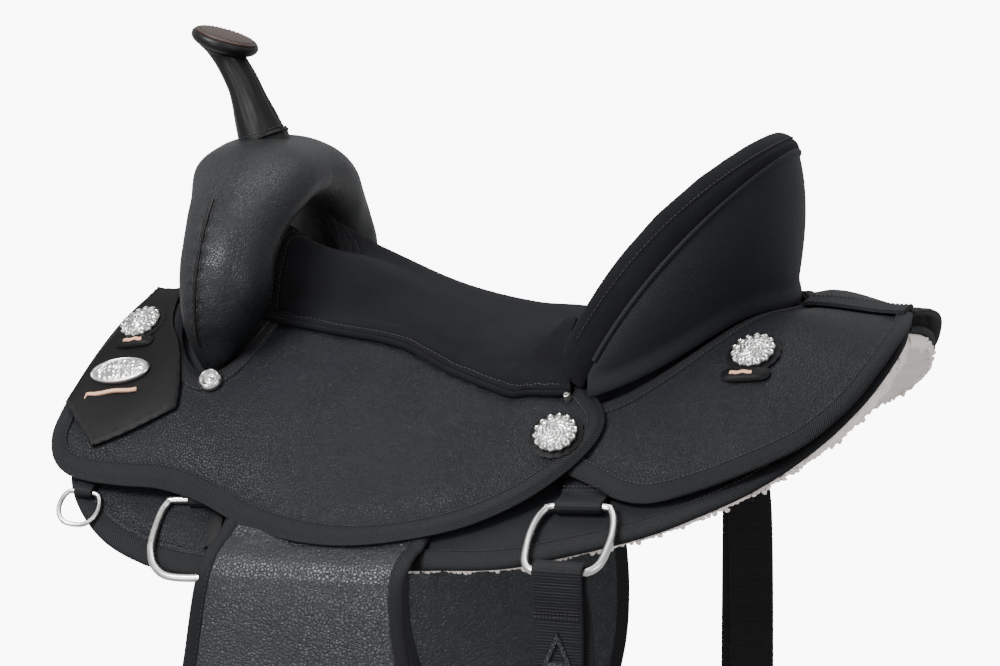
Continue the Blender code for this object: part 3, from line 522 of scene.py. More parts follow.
def add_piece(name, verts, faces, finish, body="saddle", lays=None, tones=None, flat=40, nodes=()):
    """A smooth-shaded piece. lays and tones give each vertex its (along, across) pair and its tone: a painted
    edge highlight on leather, patina on engraved metal.
    """
    mesh = bpy.data.meshes.new(name)
    mesh.from_pydata([tuple(v) for v in verts], [], faces)
    mesh.validate()
    shape = bmesh.new()
    shape.from_mesh(mesh)
    bmesh.ops.recalc_face_normals(shape, faces=shape.faces)
    shape.to_mesh(mesh)
    shape.free()
    if lays is not None:
        made = mesh.attributes.new("lay", "FLOAT_VECTOR", "POINT")
        made.data.foreach_set("vector", [c for a, b in lays for c in (a, b, 0.0)])
    made = mesh.attributes.new("tone", "FLOAT", "POINT")
    made.data.foreach_set("value", list(tones) if tones is not None else [0.0] * len(mesh.vertices))
    mesh.shade_smooth()
    mesh.set_sharp_from_angle(angle=math.radians(flat))
    piece = bpy.data.objects.new(name, mesh)
    bpy.context.scene.collection.objects.link(piece)
    mesh.materials.append(finish)
    look = finish.name.removesuffix("_look")
    SLOT_OF.get(look, look)
    if body:
        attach(piece, body)
    if nodes:
        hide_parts(*nodes)
    return piece


def grid_faces(rows, columns, around=False, closed_rows=False):
    """Quads over a grid of points. around joins its last column to its first, closed_rows its last row."""
    faces = []
    for r in range(rows if closed_rows else rows - 1):
        s = (r + 1) % rows
        for c in range(columns if around else columns - 1):
            d = (c + 1) % columns
            faces.append([r * columns + c, r * columns + d, s * columns + d, s * columns + c])
    return faces


def lofted(name, rings, finish, closed=False, **more):
    """A solid through rings of equal count. Its lay runs along the rings and round them, in metres."""
    rings = [list(ring) for ring in rings]
    if closed:
        rings.append([p.copy() for p in rings[0]])
    count = len(rings[0])
    along, lays = 0.0, []
    for r, ring in enumerate(rings):
        if r:
            along += (sum(ring, Vector()) - sum(rings[r - 1], Vector())).length / count
        across = 0.0
        for i, p in enumerate(ring):
            if i:
                across += (p - ring[i - 1]).length
            lays.append((along, across))
    if closed:
        rings.pop()
        lays = lays[: len(rings) * count]
    verts = [p for ring in rings for p in ring]
    faces = grid_faces(len(rings), count, True, closed)
    if not closed:
        faces += [list(range(count)), list(range(len(verts) - count, len(verts)))]
    return add_piece(name, verts, faces, finish, lays=lays, **more)


def strap(name, path, across, width, thickness, finish, ribs=0.0, pitch=0.0022, **more):
    """A flat strap with rounded edges along a path; ribs is the height of its crosswise ribs."""
    corner = [(0.97, 0.7), (0.90, 1), (0.5, 1.05)]
    section = [(-1, 0)] + [(-s, h) for s, h in corner] + [(0, 1.05)] + corner[::-1]
    section += [(-s, -h) for s, h in section]
    rings, run = [], 0.0
    for i, point in enumerate(path):
        if i:
            run += (point - path[i - 1]).length
        ahead = (path[min(i + 1, len(path) - 1)] - path[max(i - 1, 0)]).normalized()
        side = (across - ahead * across.dot(ahead)).normalized()
        up = side.cross(ahead).normalized()
        deep = thickness / 2 + ribs * math.sin(2 * math.pi * run / pitch)
        rings.append([point + side * width / 2 * s + up * deep * h for s, h in section])
    return lofted(name, rings, finish, flat=60, **more)


def tube(name, path, radius, finish, closed=False, sides=12, **more):
    """Round wire or piping along a path."""
    count = len(path)
    rings, side = [], None
    for i, point in enumerate(path):
        if closed:
            ahead = (path[(i + 1) % count] - path[i - 1]).normalized()
        else:
            ahead = (path[min(i + 1, count - 1)] - path[max(i - 1, 0)]).normalized()
        if side is None:
            side = ahead.orthogonal().normalized()
        side = (side - ahead * side.dot(ahead)).normalized()
        rings.append(circle(point, side, ahead.cross(side), radius, sides))
    return lofted(name, rings, finish, closed, **more)


# A stitch's rings: how far along it, the share of its radius, and its lift in radii.
ROD = [(0, 0.35, -0.9), (0.16, 0.9, 0.05), (0.5, 1, 0.3), (0.84, 0.9, 0.05), (1, 0.35, -0.9)]


class Batch:
    """Many small parts gathered into one piece."""

    def __init__(self):
        self.verts, self.faces = [], []

    def add(self, verts, faces):
        base = len(self.verts)
        self.verts += verts
        self.faces += [[base + i for i in face] for face in faces]

    def add_rod(self, start, end, radius, up, sides=5):
        """A thread stitch: a rod with tapered ends, sunk at both ends."""
        ahead = (end - start).normalized()
        side = ahead.cross(up).normalized()
        top = side.cross(ahead)
        verts = []
        for share, size, lift in ROD:
            verts += circle(start.lerp(end, share) + top * radius * lift, side, top, radius * size, sides)
        faces = grid_faces(len(ROD), sides, True)
        self.add(verts, faces + [list(range(sides)), list(range(4 * sides, 5 * sides))])

    def finish(self, name, finish, body="saddle", **more):
        return add_piece(name, self.verts, self.faces, finish, body, **more)


def even_points(path, step, closed=False):
    """Points every step along a path, each with its index in the path."""
    points = path + [path[0]] if closed else path
    made, left = [], 0.0
    for i in range(len(points) - 1):
        length = (points[i + 1] - points[i]).length
        if length > 0.02:
            left = 0.0
            continue
        while left < length:
            made.append((points[i].lerp(points[i + 1], left / length), i))
            left += step
        left -= length
    return made


def stitch(batch, path, up, closed=False, step=0.0034, radius=0.00036):
    """A row of stitches along a 3-D path; up is a direction for each of its points, or one for all."""
    spots = even_points(path, step, closed)
    for (a, i), (b, _) in zip(spots, spots[1:]):
        if (b - a).length > 2 * step:
            continue
        top = up[i % len(up)] if isinstance(up, list) else up
        batch.add_rod(a.lerp(b, 0.12), a.lerp(b, 0.88), radius, top)


# ---------------------------------------------------------------- panels

def inward(outline):
    """The unit direction into the panel at each point of its outline."""
    count = len(outline)
    area = sum(a.x * b.y - a.y * b.x for a, b in zip(outline, outline[1:] + outline[:1]))
    turn = 1 if area > 0 else -1
    made = []
    for i in range(count):
        ahead = Vector((0, 0))
        for k in (1, 2):
            ahead += (outline[(i + k) % count] - outline[i - k]).normalized()
        made.append(Vector((-ahead.y, ahead.x)).normalized() * turn)
    return made


class Panel:
    """A panel laid on a form: its outline, and how far a place is from its edge."""

    def __init__(self, points, sign, form, top, bottom, spacing, grow=0.0):
        self.outline = mirrored(smooth_outline(points, 0.004), sign)
        self.into = inward(self.outline)
        if grow:
            self.outline = [p - n * grow for p, n in zip(self.outline, self.into)]
        self.form, self.top, self.bottom, self.spacing = form, top, bottom, spacing
        self.cells = {}
        for i, p in enumerate(self.outline):
            self.cells.setdefault((math.floor(p.x / 0.03), math.floor(p.y / 0.03)), []).append(p)

    def edge_distance(self, place):
        cx, cy = math.floor(place.x / 0.03), math.floor(place.y / 0.03)
        near = []
        for i in (-1, 0, 1):
            for j in (-1, 0, 1):
                near += self.cells.get((cx + i, cy + j), [])
        return min(((place - p).length for p in near), default=0.03)

    def inset(self, amount, offset, keep=None):
        """A 3-D line at an inset from the edge, with its normals, where keep(point) allows."""
        path, ups = [], []
        for p, n in zip(self.outline, self.into):
            q = p + n * amount
            if keep and not keep(q):
                continue
            path.append(on_form(self.form, q.x, q.y, offset))
            ups.append(normal_of(self.form, q.x, q.y))
        return path, ups

    def build(self, name, finish, relief=None, edge=0.0018, under=None, **more):
        """relief(x, y, distance) is how far the top rises above the form; under(x, y) is the thickness."""
        step = self.spacing
        points = list(self.outline)
        for width in (0.0012, 0.0035):
            points += [p + n * width for p, n in zip(self.outline, self.into)][:: 1 if width > 0.002 else 2]
        xs, ys = [p.x for p in self.outline], [p.y for p in self.outline]
        for i in range(math.floor(min(xs) / step), math.ceil(max(xs) / step) + 1):
            for j in range(math.floor(min(ys) / step), math.ceil(max(ys) / step) + 1):
                place = Vector((i * step + (j % 2) * step / 2, j * step))
                if self.edge_distance(place) > 0.0035 + 0.4 * step and inside(place, self.outline):
                    points.append(place)
        count = len(self.outline)
        edges = [(i, (i + 1) % count) for i in range(count)]
        flat, _, triangles, *_ = delaunay_2d_cdt(points, edges, [], 1, 1e-6)
        above, below, lays, tones = [], [], [], []
        for p in flat:
            d = self.edge_distance(p)
            rounded = edge - math.sqrt(max(0.0, edge * edge - max(0.0, edge - d) ** 2))
            rise = relief(p.x, p.y, d) if relief else 0.0
            above.append(on_form(self.form, p.x, p.y, self.top - rounded + rise))
            low = self.top - under(p.x, p.y) if under else self.bottom
            below.append(on_form(self.form, p.x, p.y, low + rounded))
            lays.append((p.x, p.y))
            # Tone within 2 mm of the edge: a painted highlight along the edge of leather panels.
            tones.append(0.2 * smooth(1 - d / 0.002) if d < 0.002 else 0.0)
        shift = len(flat)
        faces = [list(t) for t in triangles] + [[shift + i for i in reversed(t)] for t in triangles]
        uses = {}
        for t in triangles:
            for a, b in zip(t, t[1:] + t[:1]):
                uses[frozenset((a, b))] = None if frozenset((a, b)) in uses else (a, b)
        faces += [[a, b, shift + b, shift + a] for a, b in filter(None, uses.values())]
        return add_piece(name, above + below, faces, finish, lays=lays + lays, tones=tones + tones, **more)

    def binding(self, name, width, keep=None, proud=0.0009, reach=0.0010):
        """Woven tape folded over the edge. keep(point) says along which part of the outline it runs."""
        thick = (self.top - self.bottom) / 2
        middle = (self.top + self.bottom) / 2
        top, bottom = self.top, self.bottom
        section = [
            (width, top - 0.0003), (width - 0.0006, top + proud * 0.7), (width * 0.85, top + proud),
            (width * 0.5, top + proud * 1.25), (width * 0.25, top + proud * 1.1),
            (0.0022, top + proud * 0.7), (0.0002, top - 0.0002), (-reach, middle + thick * 0.35),
            (-reach, middle - thick * 0.35), (0.0002, bottom + 0.0002), (0.0022, bottom - proud * 0.7),
            (width * 0.5, bottom - proud), (width * 0.8, bottom - proud * 0.6),
            (width * 0.8, bottom + 0.0003), (0.003, middle),
        ]
        runs, run = [], []
        for i, p in enumerate(self.outline):
            if keep is None or keep(p):
                run.append(i)
            elif run:
                runs.append(run)
                run = []
        if run:
            if runs and runs[0][0] == 0 and keep is not None:
                runs[0] = run + runs[0]
            else:
                runs.append(run)
        for k, run in enumerate(runs):
            rings = []
            for i in run:
                p, n = self.outline[i], self.into[i]
                places_in = [(p + n * inset, offset) for inset, offset in section]
                rings.append([on_form(self.form, q.x, q.y, offset) for q, offset in places_in])
            closed = keep is None and len(run) == len(self.outline)
            lofted(name if len(runs) == 1 else f"{name}_{k}", rings, BINDING, closed, flat=60)


def tape_on(name, form, points, width, offset, finish, thickness=0.0014):
    """A flat tape laid on a form along plan-view points in metres."""
    section = [(-1, 0), (-0.94, 1), (-0.5, 1.15), (0, 1.2), (0.5, 1.15), (0.94, 1), (1, 0), (0.5, -0.4)]
    section += [(0, -0.4), (-0.5, -0.4)]
    rings = []
    for i, p in enumerate(points):
        ahead = (points[min(i + 1, len(points) - 1)] - points[max(i - 1, 0)]).normalized()
        side = Vector((-ahead.y, ahead.x))
        ring = []
        for s, h in section:
            q = p + side * width / 2 * s
            ring.append(on_form(form, q.x, q.y, offset + thickness * h))
        rings.append(ring)
    return lofted(name, rings, finish, flat=60)


# ---------------------------------------------------------------- skirts and fleece

def puffed(line, rise, ripple=0.0, seed=0.0):
    """A relief with a seam at a distance from the edge, and stuffing that rises inside it."""
    def relief(x, y, d):
        seam = -0.0008 * math.exp(-((d - line) / 0.0016) ** 2)
        wave = noise.noise(Vector((x * 22, y * 22, seed))) * ripple
        return seam + (rise + wave) * smooth((d - line) / 0.014)
    return relief


def outer_skirt(p):
    return abs(p.y) > 0.050 or p.x > 0.296


def build_skirt(side, sign):
    skirt = Panel(SKIRT, sign, lower_form, 0.0, -SKIRT_THICKNESS, 0.008, -0.003)
    skirt.build(f"skirt_cloth_{side}", CORDURA, puffed(0.0145, 0.0004), nodes=[f"skirt_{side}"])
    skirt.binding(f"skirt_binding_{side}", 0.0125, keep=outer_skirt, reach=0.0012)
    seam = Batch()
    path, ups = skirt.inset(0.0112, 0.0012, outer_skirt)
    stitch(seam, path, ups)
    outline = [
        (-303, 92, 1), (-306, 150), (-291, 186), (-262, 203), (-222, 216), (-178, 226),
        (-150, 230, 1), (-150, 180, 1), (-230, 150),
    ]
    front = Panel(outline, sign, lower_form, 0.0016, 0.0001, 0.005)
    front.build(f"skirt_front_{side}", PEBBLED, puffed(0.0035, 0.0007), edge=0.0009)
    path, ups = front.inset(0.0032, 0.0019)
    stitch(seam, path, ups, True)
    seam.finish(f"skirt_stitches_{side}", THREAD)
    edge = [Vector((-0.1665 + 0.001 * k, sign * (0.176 + 0.0075 * k))) for k in range(9)]
    tape_on(f"skirt_strip_{side}", lower_form, edge, 0.013, 0.0016, BINDING)
    guard = [Vector((-0.1795 + 0.0010 * k, sign * (0.176 + 0.0065 * k))) for k in range(8)]
    tape_on(f"dee_guard_{side}", lower_form, guard, 0.011, 0.0020, SMOOTH_LEATHER, 0.0024)


def build_fleece(side, sign):
    def pile(x, y):
        locks = noise.noise(Vector((x * 70, y * 70, sign))) * 0.0018
        curls = noise.noise(Vector((x * 190, y * 190, sign + 5))) * 0.0011
        return fleece_thickness(y) + locks + curls

    fleece = Panel(SKIRT, sign, lower_form, -SKIRT_THICKNESS - LAYER_GAP, 0.0, 0.0055, -0.0050)
    fleece.build(f"fleece_pile_{side}", FLEECE, edge=0.0022, under=pile, nodes=[f"fleece_{side}"])
    tufts = Batch()
    for p, n in zip(fleece.outline, fleece.into):
        if abs(p.y) < 0.035:
            continue
        for _ in range(3):
            q = p + n * rng.uniform(0.0005, 0.006)
            depth = fleece.top - rng.uniform(0.15, 0.95) * fleece_thickness(q.y)
            base = on_form(lower_form, q.x, q.y, depth)
            out = Vector((-n.x, -n.y, -1.0)) + Vector([rng.uniform(-0.6, 0.6) for _ in range(3)])
            out.normalize()
            side_way = out.orthogonal().normalized()
            other = out.cross(side_way)
            curl = (side_way * rng.uniform(-1, 1) + other * rng.uniform(-1, 1)) * 0.0016
            verts = []
            length = rng.uniform(0.0014, 0.0034)
            for share, size in ((0.0, 0.0022), (0.4, 0.0024), (0.75, 0.0019), (1.0, 0.0009)):
                middle = base + out * length * share + curl * share * share
                verts += circle(middle, side_way, other, size, 5)
            faces = grid_faces(4, 5, True) + [list(range(5)), list(range(15, 20))]
            tufts.add(verts, faces)
    tufts.finish(f"fleece_tufts_{side}", FLEECE, flat=80)


# ---------------------------------------------------------------- jockeys and their conchos

def by_cantle(p):
    return math.hypot(p.x - CANTLE_X, p.y) < 0.174


def off_cantle(p):
    return not by_cantle(p)


def by_swell(p):
    return math.hypot(p.x + 0.213, abs(p.y) - 0.090) < 0.050


def off_swell(p):
    return not by_swell(p)


def under_seat(p, margin=0.007):
    line = [(-0.187, 0.087), (-0.130, 0.098), (-0.066, 0.112), (-0.015, 0.136), (0.035, 0.152),
            (0.088, 0.150)]
    for (x, y), (far_x, far_y) in zip(line, line[1:]):
        if x <= p.x < far_x:
            return abs(p.y) < y + (far_y - y) * (p.x - x) / (far_x - x) - margin
    return False


def seat_jockey_relief(x, y, d):
    if under_seat(Vector((x, y)), 0.005):
        return -0.0035
    return puffed(0.0126, 0.0011, 0.0014, 8.0)(x, y, d)


def seat_edge(p):
    return off_swell(p) and not under_seat(p)


def build_jockeys(side, sign):
    seams = Batch()
    rear = Panel(REAR_JOCKEY, sign, upper_form, REAR_TOP, REAR_TOP - 0.0035, 0.0055)
    relief = puffed(0.0130, 0.0009, 0.0009, 3.0)
    rear.build(f"rear_jockey_hide_{side}", PEBBLED, relief, nodes=[f"rear_jockey_{side}"])
    rear.binding(f"rear_jockey_binding_{side}", 0.0112, keep=off_cantle)
    rear.binding(f"rear_jockey_welt_{side}", 0.0090, keep=by_cantle, proud=0.0014)
    for amount, part in ((0.0100, off_cantle), (0.0078, by_cantle)):
        path, ups = rear.inset(amount, REAR_TOP + 0.0012, part)
        stitch(seams, path, ups)
    seat = Panel(SEAT_JOCKEY, sign, upper_form, 0.0, -LEATHER, 0.0050, 0.0012)
    seat.build(f"seat_jockey_hide_{side}", PEBBLED, seat_jockey_relief, nodes=[f"seat_jockey_{side}"])
    seat.binding(f"seat_jockey_binding_{side}", 0.0108, keep=seat_edge, reach=0.0018)
    seat.binding(f"swell_binding_{side}", 0.0105, keep=by_swell, proud=0.0012)
    for amount, part in ((0.0096, seat_edge), (0.0090, by_swell)):
        path, ups = seat.inset(amount, 0.0013, part)
        stitch(seams, path, ups)
    seams.finish(f"jockey_stitches_{side}", THREAD)


def build_lining(side, sign):
    """Black cloth over the tree's bars. It closes the gaps round the feet of the swell and the cantle."""
    outline = [
        (-275, 66, 1), (-290, 110), (-270, 165), (-200, 178), (-100, 190), (0, 205), (70, 200),
        (130, 190), (220, 160), (280, 110), (300, 20, 1), (215, 3, 1), (150, 60), (60, 90),
        (-60, 85), (-160, 70), (-200, 66),
    ]
    cloth = Panel(outline, sign, upper_form, -0.0098, -0.0112, 0.009)
    cloth.build(f"lining_{side}", CORDURA, edge=0.0005)


def crease(x, y, d):
    return -0.0004 * math.exp(-((d - 0.0036) / 0.0010) ** 2) + 0.0002 * smooth((d - 0.004) / 0.01)


def build_plate(side, sign):
    plate = Panel(PLATE, sign, upper_form, 0.0052, 0.0012, 0.0045)
    plate.build(f"shield_{side}", SATIN, crease, edge=0.0013, nodes=[f"concho_plate_{side}"])


def build_connector():
    line = [Vector((0.225 + 0.0784 * k / 24, 0)) for k in range(25)]
    strip = tape_on("spine_strip", upper_form, line, 0.037, -0.0036, BINDING, 0.0022)
    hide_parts("rear_connector")
    seam = Batch()
    for y in (-0.0165, 0.0165):
        path = [on_form(upper_form, p.x, y, -0.0011) for p in line]
        stitch(seam, path, Vector((0, 0, 1)))
    seam.finish("spine_strip_stitches", THREAD)


def spot(x, y, sign, lift):
    """A place on the jockeys, and its directions along, down the side and off the surface."""
    normal = normal_of(upper_form, x, y * sign)
    along = (Vector((1, 0, 0)) - normal * normal.x).normalized()
    down = normal.cross(along)
    if down.y * sign < 0:
        down = -down
    return on_form(upper_form, x, y * sign, lift), along, down, normal


def disc(name, where, radius, stretch, profile, finish, rings=26, around=104, thick=0.0012, **more):
    """A plate. profile(share of radius, angle) gives its height, tone and factor of radius there; the tone is
    patina in silver's hollows and a painted edge highlight on leather.
    """
    place, along, down, normal = where

    def at(a, size, height):
        return place + along * math.cos(a) * size * stretch + down * math.sin(a) * size + normal * height

    verts, tones = [], []
    for r in range(rings):
        share = (r + 0.02) / (rings - 1 + 0.02)
        for k in range(around):
            a = 2 * math.pi * k / around
            height, tone, wide = profile(share, a)
            size = radius * share * (1 + (wide - 1) * share)
            verts.append(at(a, size, height))
            tones.append(tone)
    # The back ring takes full tone: a painted highlight round a leather rim, a darker rim on silver.
    for k in range(around):
        a = 2 * math.pi * k / around
        verts.append(at(a, radius * profile(1.0, a)[2] * 0.97, -thick))
        tones.append(1.0)
    faces = grid_faces(rings + 1, around, True)
    faces += [list(range(around)), list(range(rings * around, (rings + 1) * around))]
    return add_piece(name, verts, faces, finish, tones=tones, flat=50, **more)


def loop_relief(r, a):
    """A domed engraved centre inside a rope and a ring of open loops."""
    count = 14
    turn = (a / (2 * math.pi) * count) % 1 - 0.5
    reach = math.hypot(turn * 2 * math.pi / count * r, (r - 0.84) * 0.85)
    loop = math.exp(-((reach - 0.110) / 0.045) ** 2)
    rope = math.exp(-((r - 0.63) / 0.040) ** 2) * (0.65 + 0.35 * math.cos(a * 28))
    petal = 0.5 + 0.5 * math.cos(7 * a + 5 * math.sin(8 * r))
    vein = 0.5 + 0.5 * math.cos(30 * r + 3 * math.cos(7 * a))
    centre = smooth((0.60 - r) / 0.05)
    height = 0.0012 + 0.0036 * (1 - r * r) + 0.0013 * loop + 0.0009 * rope
    height += centre * (0.0007 * petal + 0.0003 * vein)
    dark = 1 - max(loop, rope, centre * (0.25 + 0.75 * petal * (0.4 + 0.6 * vein)))
    return height, smooth((dark - 0.25) / 0.6), 1 + 0.035 * math.cos(count * a + math.pi)


def oval_relief(r, a):
    """A thin raised rim round a field of scrolls."""
    u, v = r * math.cos(a) * 2.1, r * math.sin(a)
    rim = math.exp(-((r - 0.95) / 0.035) ** 2)
    inner = math.exp(-((r - 0.86) / 0.020) ** 2) * 0.6
    scroll = math.sin(8 * u + 2.4 * math.sin(6 * v + 1)) * math.sin(9 * v + 2.4 * math.sin(5 * u))
    field = smooth((0.84 - r) / 0.05) * smooth(0.5 + 0.9 * scroll)
    height = 0.0016 + 0.0022 * (1 - r * r) + 0.0010 * rim + 0.0004 * inner + 0.0008 * field
    dark = 0.75 - max(rim, inner, field)
    return height, 0.62 * smooth(dark / 0.6), 1.0


def button_relief(r, a):
    ring = math.exp(-((r - 0.78) / 0.17) ** 2)
    cup = math.exp(-(r / 0.30) ** 2)
    return 0.0012 + 0.0034 * ring + 0.0016 * cup, 0.75 * smooth((0.55 - ring - cup) / 0.4), 1.0


def rosette_relief(r, a):
    # The tone rises near the scalloped edge: a painted highlight round the leather rosette.
    return 0.0016 - 0.0012 * r ** 6, 0.2 * smooth((r - 0.9) / 0.1), 1 + 0.045 * abs(math.sin(9 * a))


def plain_relief(r, a):
    square = (abs(math.cos(a)) ** 3.2 + abs(math.sin(a)) ** 3.2) ** (-1 / 3.2)
    # The tone rises near the edge: a painted highlight round the leather keeper.
    return 0.0030 * (1 - r ** 5), 0.3 * smooth((r - 0.86) / 0.1), square


def moved(where, along, down, up=0.0):
    place, ahead, below, normal = where
    return place + ahead * along + below * down + normal * up, ahead, below, normal


def lace_bar(name, where, start, end, bend=0.0):
    """A flat lace end with a hook at the front."""
    place, along, down, normal = where
    path = [place + along * start + down * bend, place + along * (start + 0.0010) + down * bend * 0.35]
    for k in range(11):
        share = k / 10
        wave = 0.0006 * math.sin(9 * share)
        path.append(place + along * (start + 0.003 + (end - start - 0.003) * share) + down * wave)
    path = smooth_path(path, 3)
    strap(name, path, down, 0.0031, 0.0018, LACE)


def build_concho(name, side, place, sink, rosette):
    """A silver concho on its leather rosette."""
    disc(f"{name}_rosette_{side}", moved(place, 0, 0, -sink), rosette, 1, rosette_relief, SATIN, 12)
    disc(f"{name}_silver_{side}", place, 0.0165, 1, loop_relief, SILVER, nodes=[f"{name}_concho_{side}"])


def build_keeper(name, side, where, radius, stretch, lace, reach):
    """The slotted leather below a rosette, with a lace through it."""
    disc(f"{name}_keeper_{side}", where, radius, stretch, plain_relief, SATIN, 14)
    lace_bar(f"{name}_lace_{side}", moved(where, *lace), -reach, reach)


def build_conchos(side, sign):
    place = spot(-0.282, 0.089, sign, 0.0070)
    build_concho("front", side, place, 0.0014, 0.0195)
    keeper = moved(place, 0.001, 0.0205, -0.0016)
    build_keeper("front", side, keeper, 0.0062, 2.7, (0, 0.0006, 0.0028), 0.0080)
    centre, along, down, normal = spot(-0.283, 0.128, sign, 0.0078)
    tilt = math.radians(5)
    ahead = along * math.cos(tilt) - down * math.sin(tilt)
    below = down * math.cos(tilt) + along * math.sin(tilt)
    oval = (centre, ahead, below, normal)
    disc(f"oval_silver_{side}", moved(oval, 0, 0, -0.0012), 0.0120, 2.1, oval_relief, SILVER, 40, 144,
         nodes=[f"oval_concho_{side}"])
    lace_bar(f"plate_lace_{side}", moved(oval, 0, 0.0192, -0.0014), -0.0262, 0.0180, 0.0042)
    build_concho("middle", side, spot(0.081, 0.177, sign, 0.0036), 0.0022, 0.0200)
    disc(f"rivet_{side}", spot(0.082, 0.152, sign, 0.0012), 0.0026, 1, button_relief, STEEL, 8, 32)
    place = spot(0.214, 0.122, sign, REAR_TOP + 0.0036)
    build_concho("rear", side, place, 0.0022, 0.0200)
    keeper = moved(place, -0.002, 0.0215, -0.0022)
    build_keeper("rear", side, keeper, 0.0075, 2.5, (-0.003, 0.0006, 0.0024), 0.0085)
    button = spot(-0.207, 0.137, sign, 0.0014)
    disc(f"button_silver_{side}", button, 0.0094, 1, button_relief, SILVER, 18, 72,
         nodes=[f"swell_button_{side}"])


# ---------------------------------------------------------------- seat and cantle

SEAT_CORNER = 0.1515
SEAT_END = math.radians(80.5)


def seat_sections():
    """The seat's sections from its front edge to the cantle's rim, each from its middle to its lower edge."""
    half = [[Vector(p) * MM for p in section] for section in SEAT]
    shares = [0, 0.25, 0.5, 0.75]
    rise = [(0.086, 0.06, 48), (0.060, 0.26, 60), (0.042, 0.60, 72), (0.0260, 1.0, 83)]
    for inset, share, corner in rise:
        row = []
        for s in shares:
            angle = SEAT_END * s / 0.75
            place = rim_place(angle, inset + 0.005 * s)
            rest = 0.044 - 0.033 * math.sin(angle) ** 2
            rest = max(rest, (upper_form(place.x, place.y) + 0.006) * smooth((s - 0.6) / 0.2))
            place.z = rest + share * max(0.0, rim_seam(angle) - 0.010 - rest)
            row.append(place)
        row.append(Vector((corner * MM, SEAT_CORNER, upper_form(corner * MM, SEAT_CORNER) + 0.005)))
        half.append(row)
    return half


def build_seat():
    half = seat_sections()
    last = len(half) - 1
    alongs = [0.62 * k / 22 for k in range(22)] + [0.62 + (last - 0.62) * k / 84 for k in range(85)]
    acrosses = [3.4 * k / 26 for k in range(26)] + [3.4 + 0.6 * k / 16 for k in range(17)]
    columns = len(acrosses) - 1
    top = []
    for t in alongs:
        row = []
        for u in acrosses:
            near = [read_between([tuple(p) for p in section], u) for section in half]
            point = Vector(read_between(near, t))
            if u > 3.2:
                point.z = max(point.z, upper_form(point.x, point.y) + 0.0055)
            row.append(point)
        top.append([Vector((p.x, -p.y, p.z)) for p in row[:0:-1]] + row)
    wide = len(top[0])
    front = [[0.0] * wide for _ in top]
    edge = [[0.0] * wide for _ in top]
    for r in range(1, len(top)):
        for c in range(wide):
            front[r][c] = front[r - 1][c] + (top[r][c] - top[r - 1][c]).length
    for r, row in enumerate(top):
        for c in range(1, columns + 1):
            edge[r][c] = edge[r][c - 1] + (row[c] - row[c - 1]).length
            edge[r][wide - 1 - c] = edge[r][wide - c] + (row[wide - 1 - c] - row[wide - c]).length
    above, below, lays = [], [], []
    for r, row in enumerate(top):
        for c, point in enumerate(row):
            ahead = top[min(r + 1, len(top) - 1)][c] - top[max(r - 1, 0)][c]
            across = row[min(c + 1, wide - 1)] - row[max(c - 1, 0)]
            normal = ahead.cross(across).normalized()
            d_front, d_edge = front[r][c], edge[r][c]
            near = min(d_front, d_edge)
            seams = 0.0
            for line in (0.0085, 0.0145):
                seams += math.exp(-((d_front - line) / 0.0013) ** 2) * smooth((d_edge - 0.006) / 0.01)
            seams += 0.8 * math.exp(-((d_edge - 0.0068) / 0.0015) ** 2) * smooth((d_front - 0.010) / 0.01)
            rounded = 0.0034 - math.sqrt(max(0.0, 0.0034 ** 2 - max(0.0, 0.0034 - near) ** 2))
            swollen = 0.0012 * smooth((near - 0.016) / 0.03)
            dimple = noise.noise(Vector((point.x * 16, point.y * 16, 2.0))) * 0.0009
            dimple *= smooth((near - 0.02) / 0.02)
            above.append(point + normal * (swollen + dimple - 0.0014 * seams - rounded))
            depth = 0.0045 + 0.0045 * (1 - (abs(c - columns) / columns) ** 3)
            low = point - normal * depth
            if abs(c - columns) / columns > 0.7:
                low.z = max(low.z, upper_form(low.x, low.y) + 0.0016)
            below.append(low)
            lays.append((point.x, point.y))
    shift = len(above)
    faces = grid_faces(len(top), wide)
    faces += [[shift + i for i in reversed(f)] for f in faces]
    border = [(r, 0) for r in range(len(top))] + [(len(top) - 1, c) for c in range(1, wide)]
    border += [(r, wide - 1) for r in range(len(top) - 2, -1, -1)]
    border += [(0, c) for c in range(wide - 2, 0, -1)]
    ring = [r * wide + c for r, c in border]
    faces += [[a, b, shift + b, shift + a] for a, b in zip(ring, ring[1:] + ring[:1])]
    seat = add_piece("seat_suede", above + below, faces, SUEDE, lays=lays + lays, flat=55,
                     nodes=["seat_cover"])
    lip = [top[r][0] - Vector((0, 0, 0.0022)) for r in range(0, len(top) - 3)]
    lip = lip[::-1] + [p - Vector((0, 0, 0.0018)) for p in top[0]]
    lip += [top[r][wide - 1] - Vector((0, 0, 0.0022)) for r in range(0, len(top) - 3)]
    piping = even_points(lip, 0.004)
    tube("seat_piping", [p for p, _ in piping], 0.0023, SUEDE, sides=10)
    seam = Batch()
    ups = Vector((0, 0, 1))
    for line in (0.0085, 0.0145):
        path = []
        for c in range(wide):
            if edge[8][c] < 0.008:
                continue
            r = min(range(len(top)), key=lambda i: abs(front[i][c] - line))
            path.append(top[r][c] + Vector((0, 0, -0.0009)))
        stitch(seam, path, ups, step=0.0040)
    for side_columns in (range(0, columns), range(wide - 1, columns, -1)):
        path = []
        for r in range(14, len(top) - 8):
            c = min(side_columns, key=lambda i: abs(edge[r][i] - 0.0068))
            path.append(top[r][c] + Vector((0, 0, -0.0006)))
        stitch(seam, path, ups, step=0.0040)
    seam.finish("seat_stitches", THREAD)


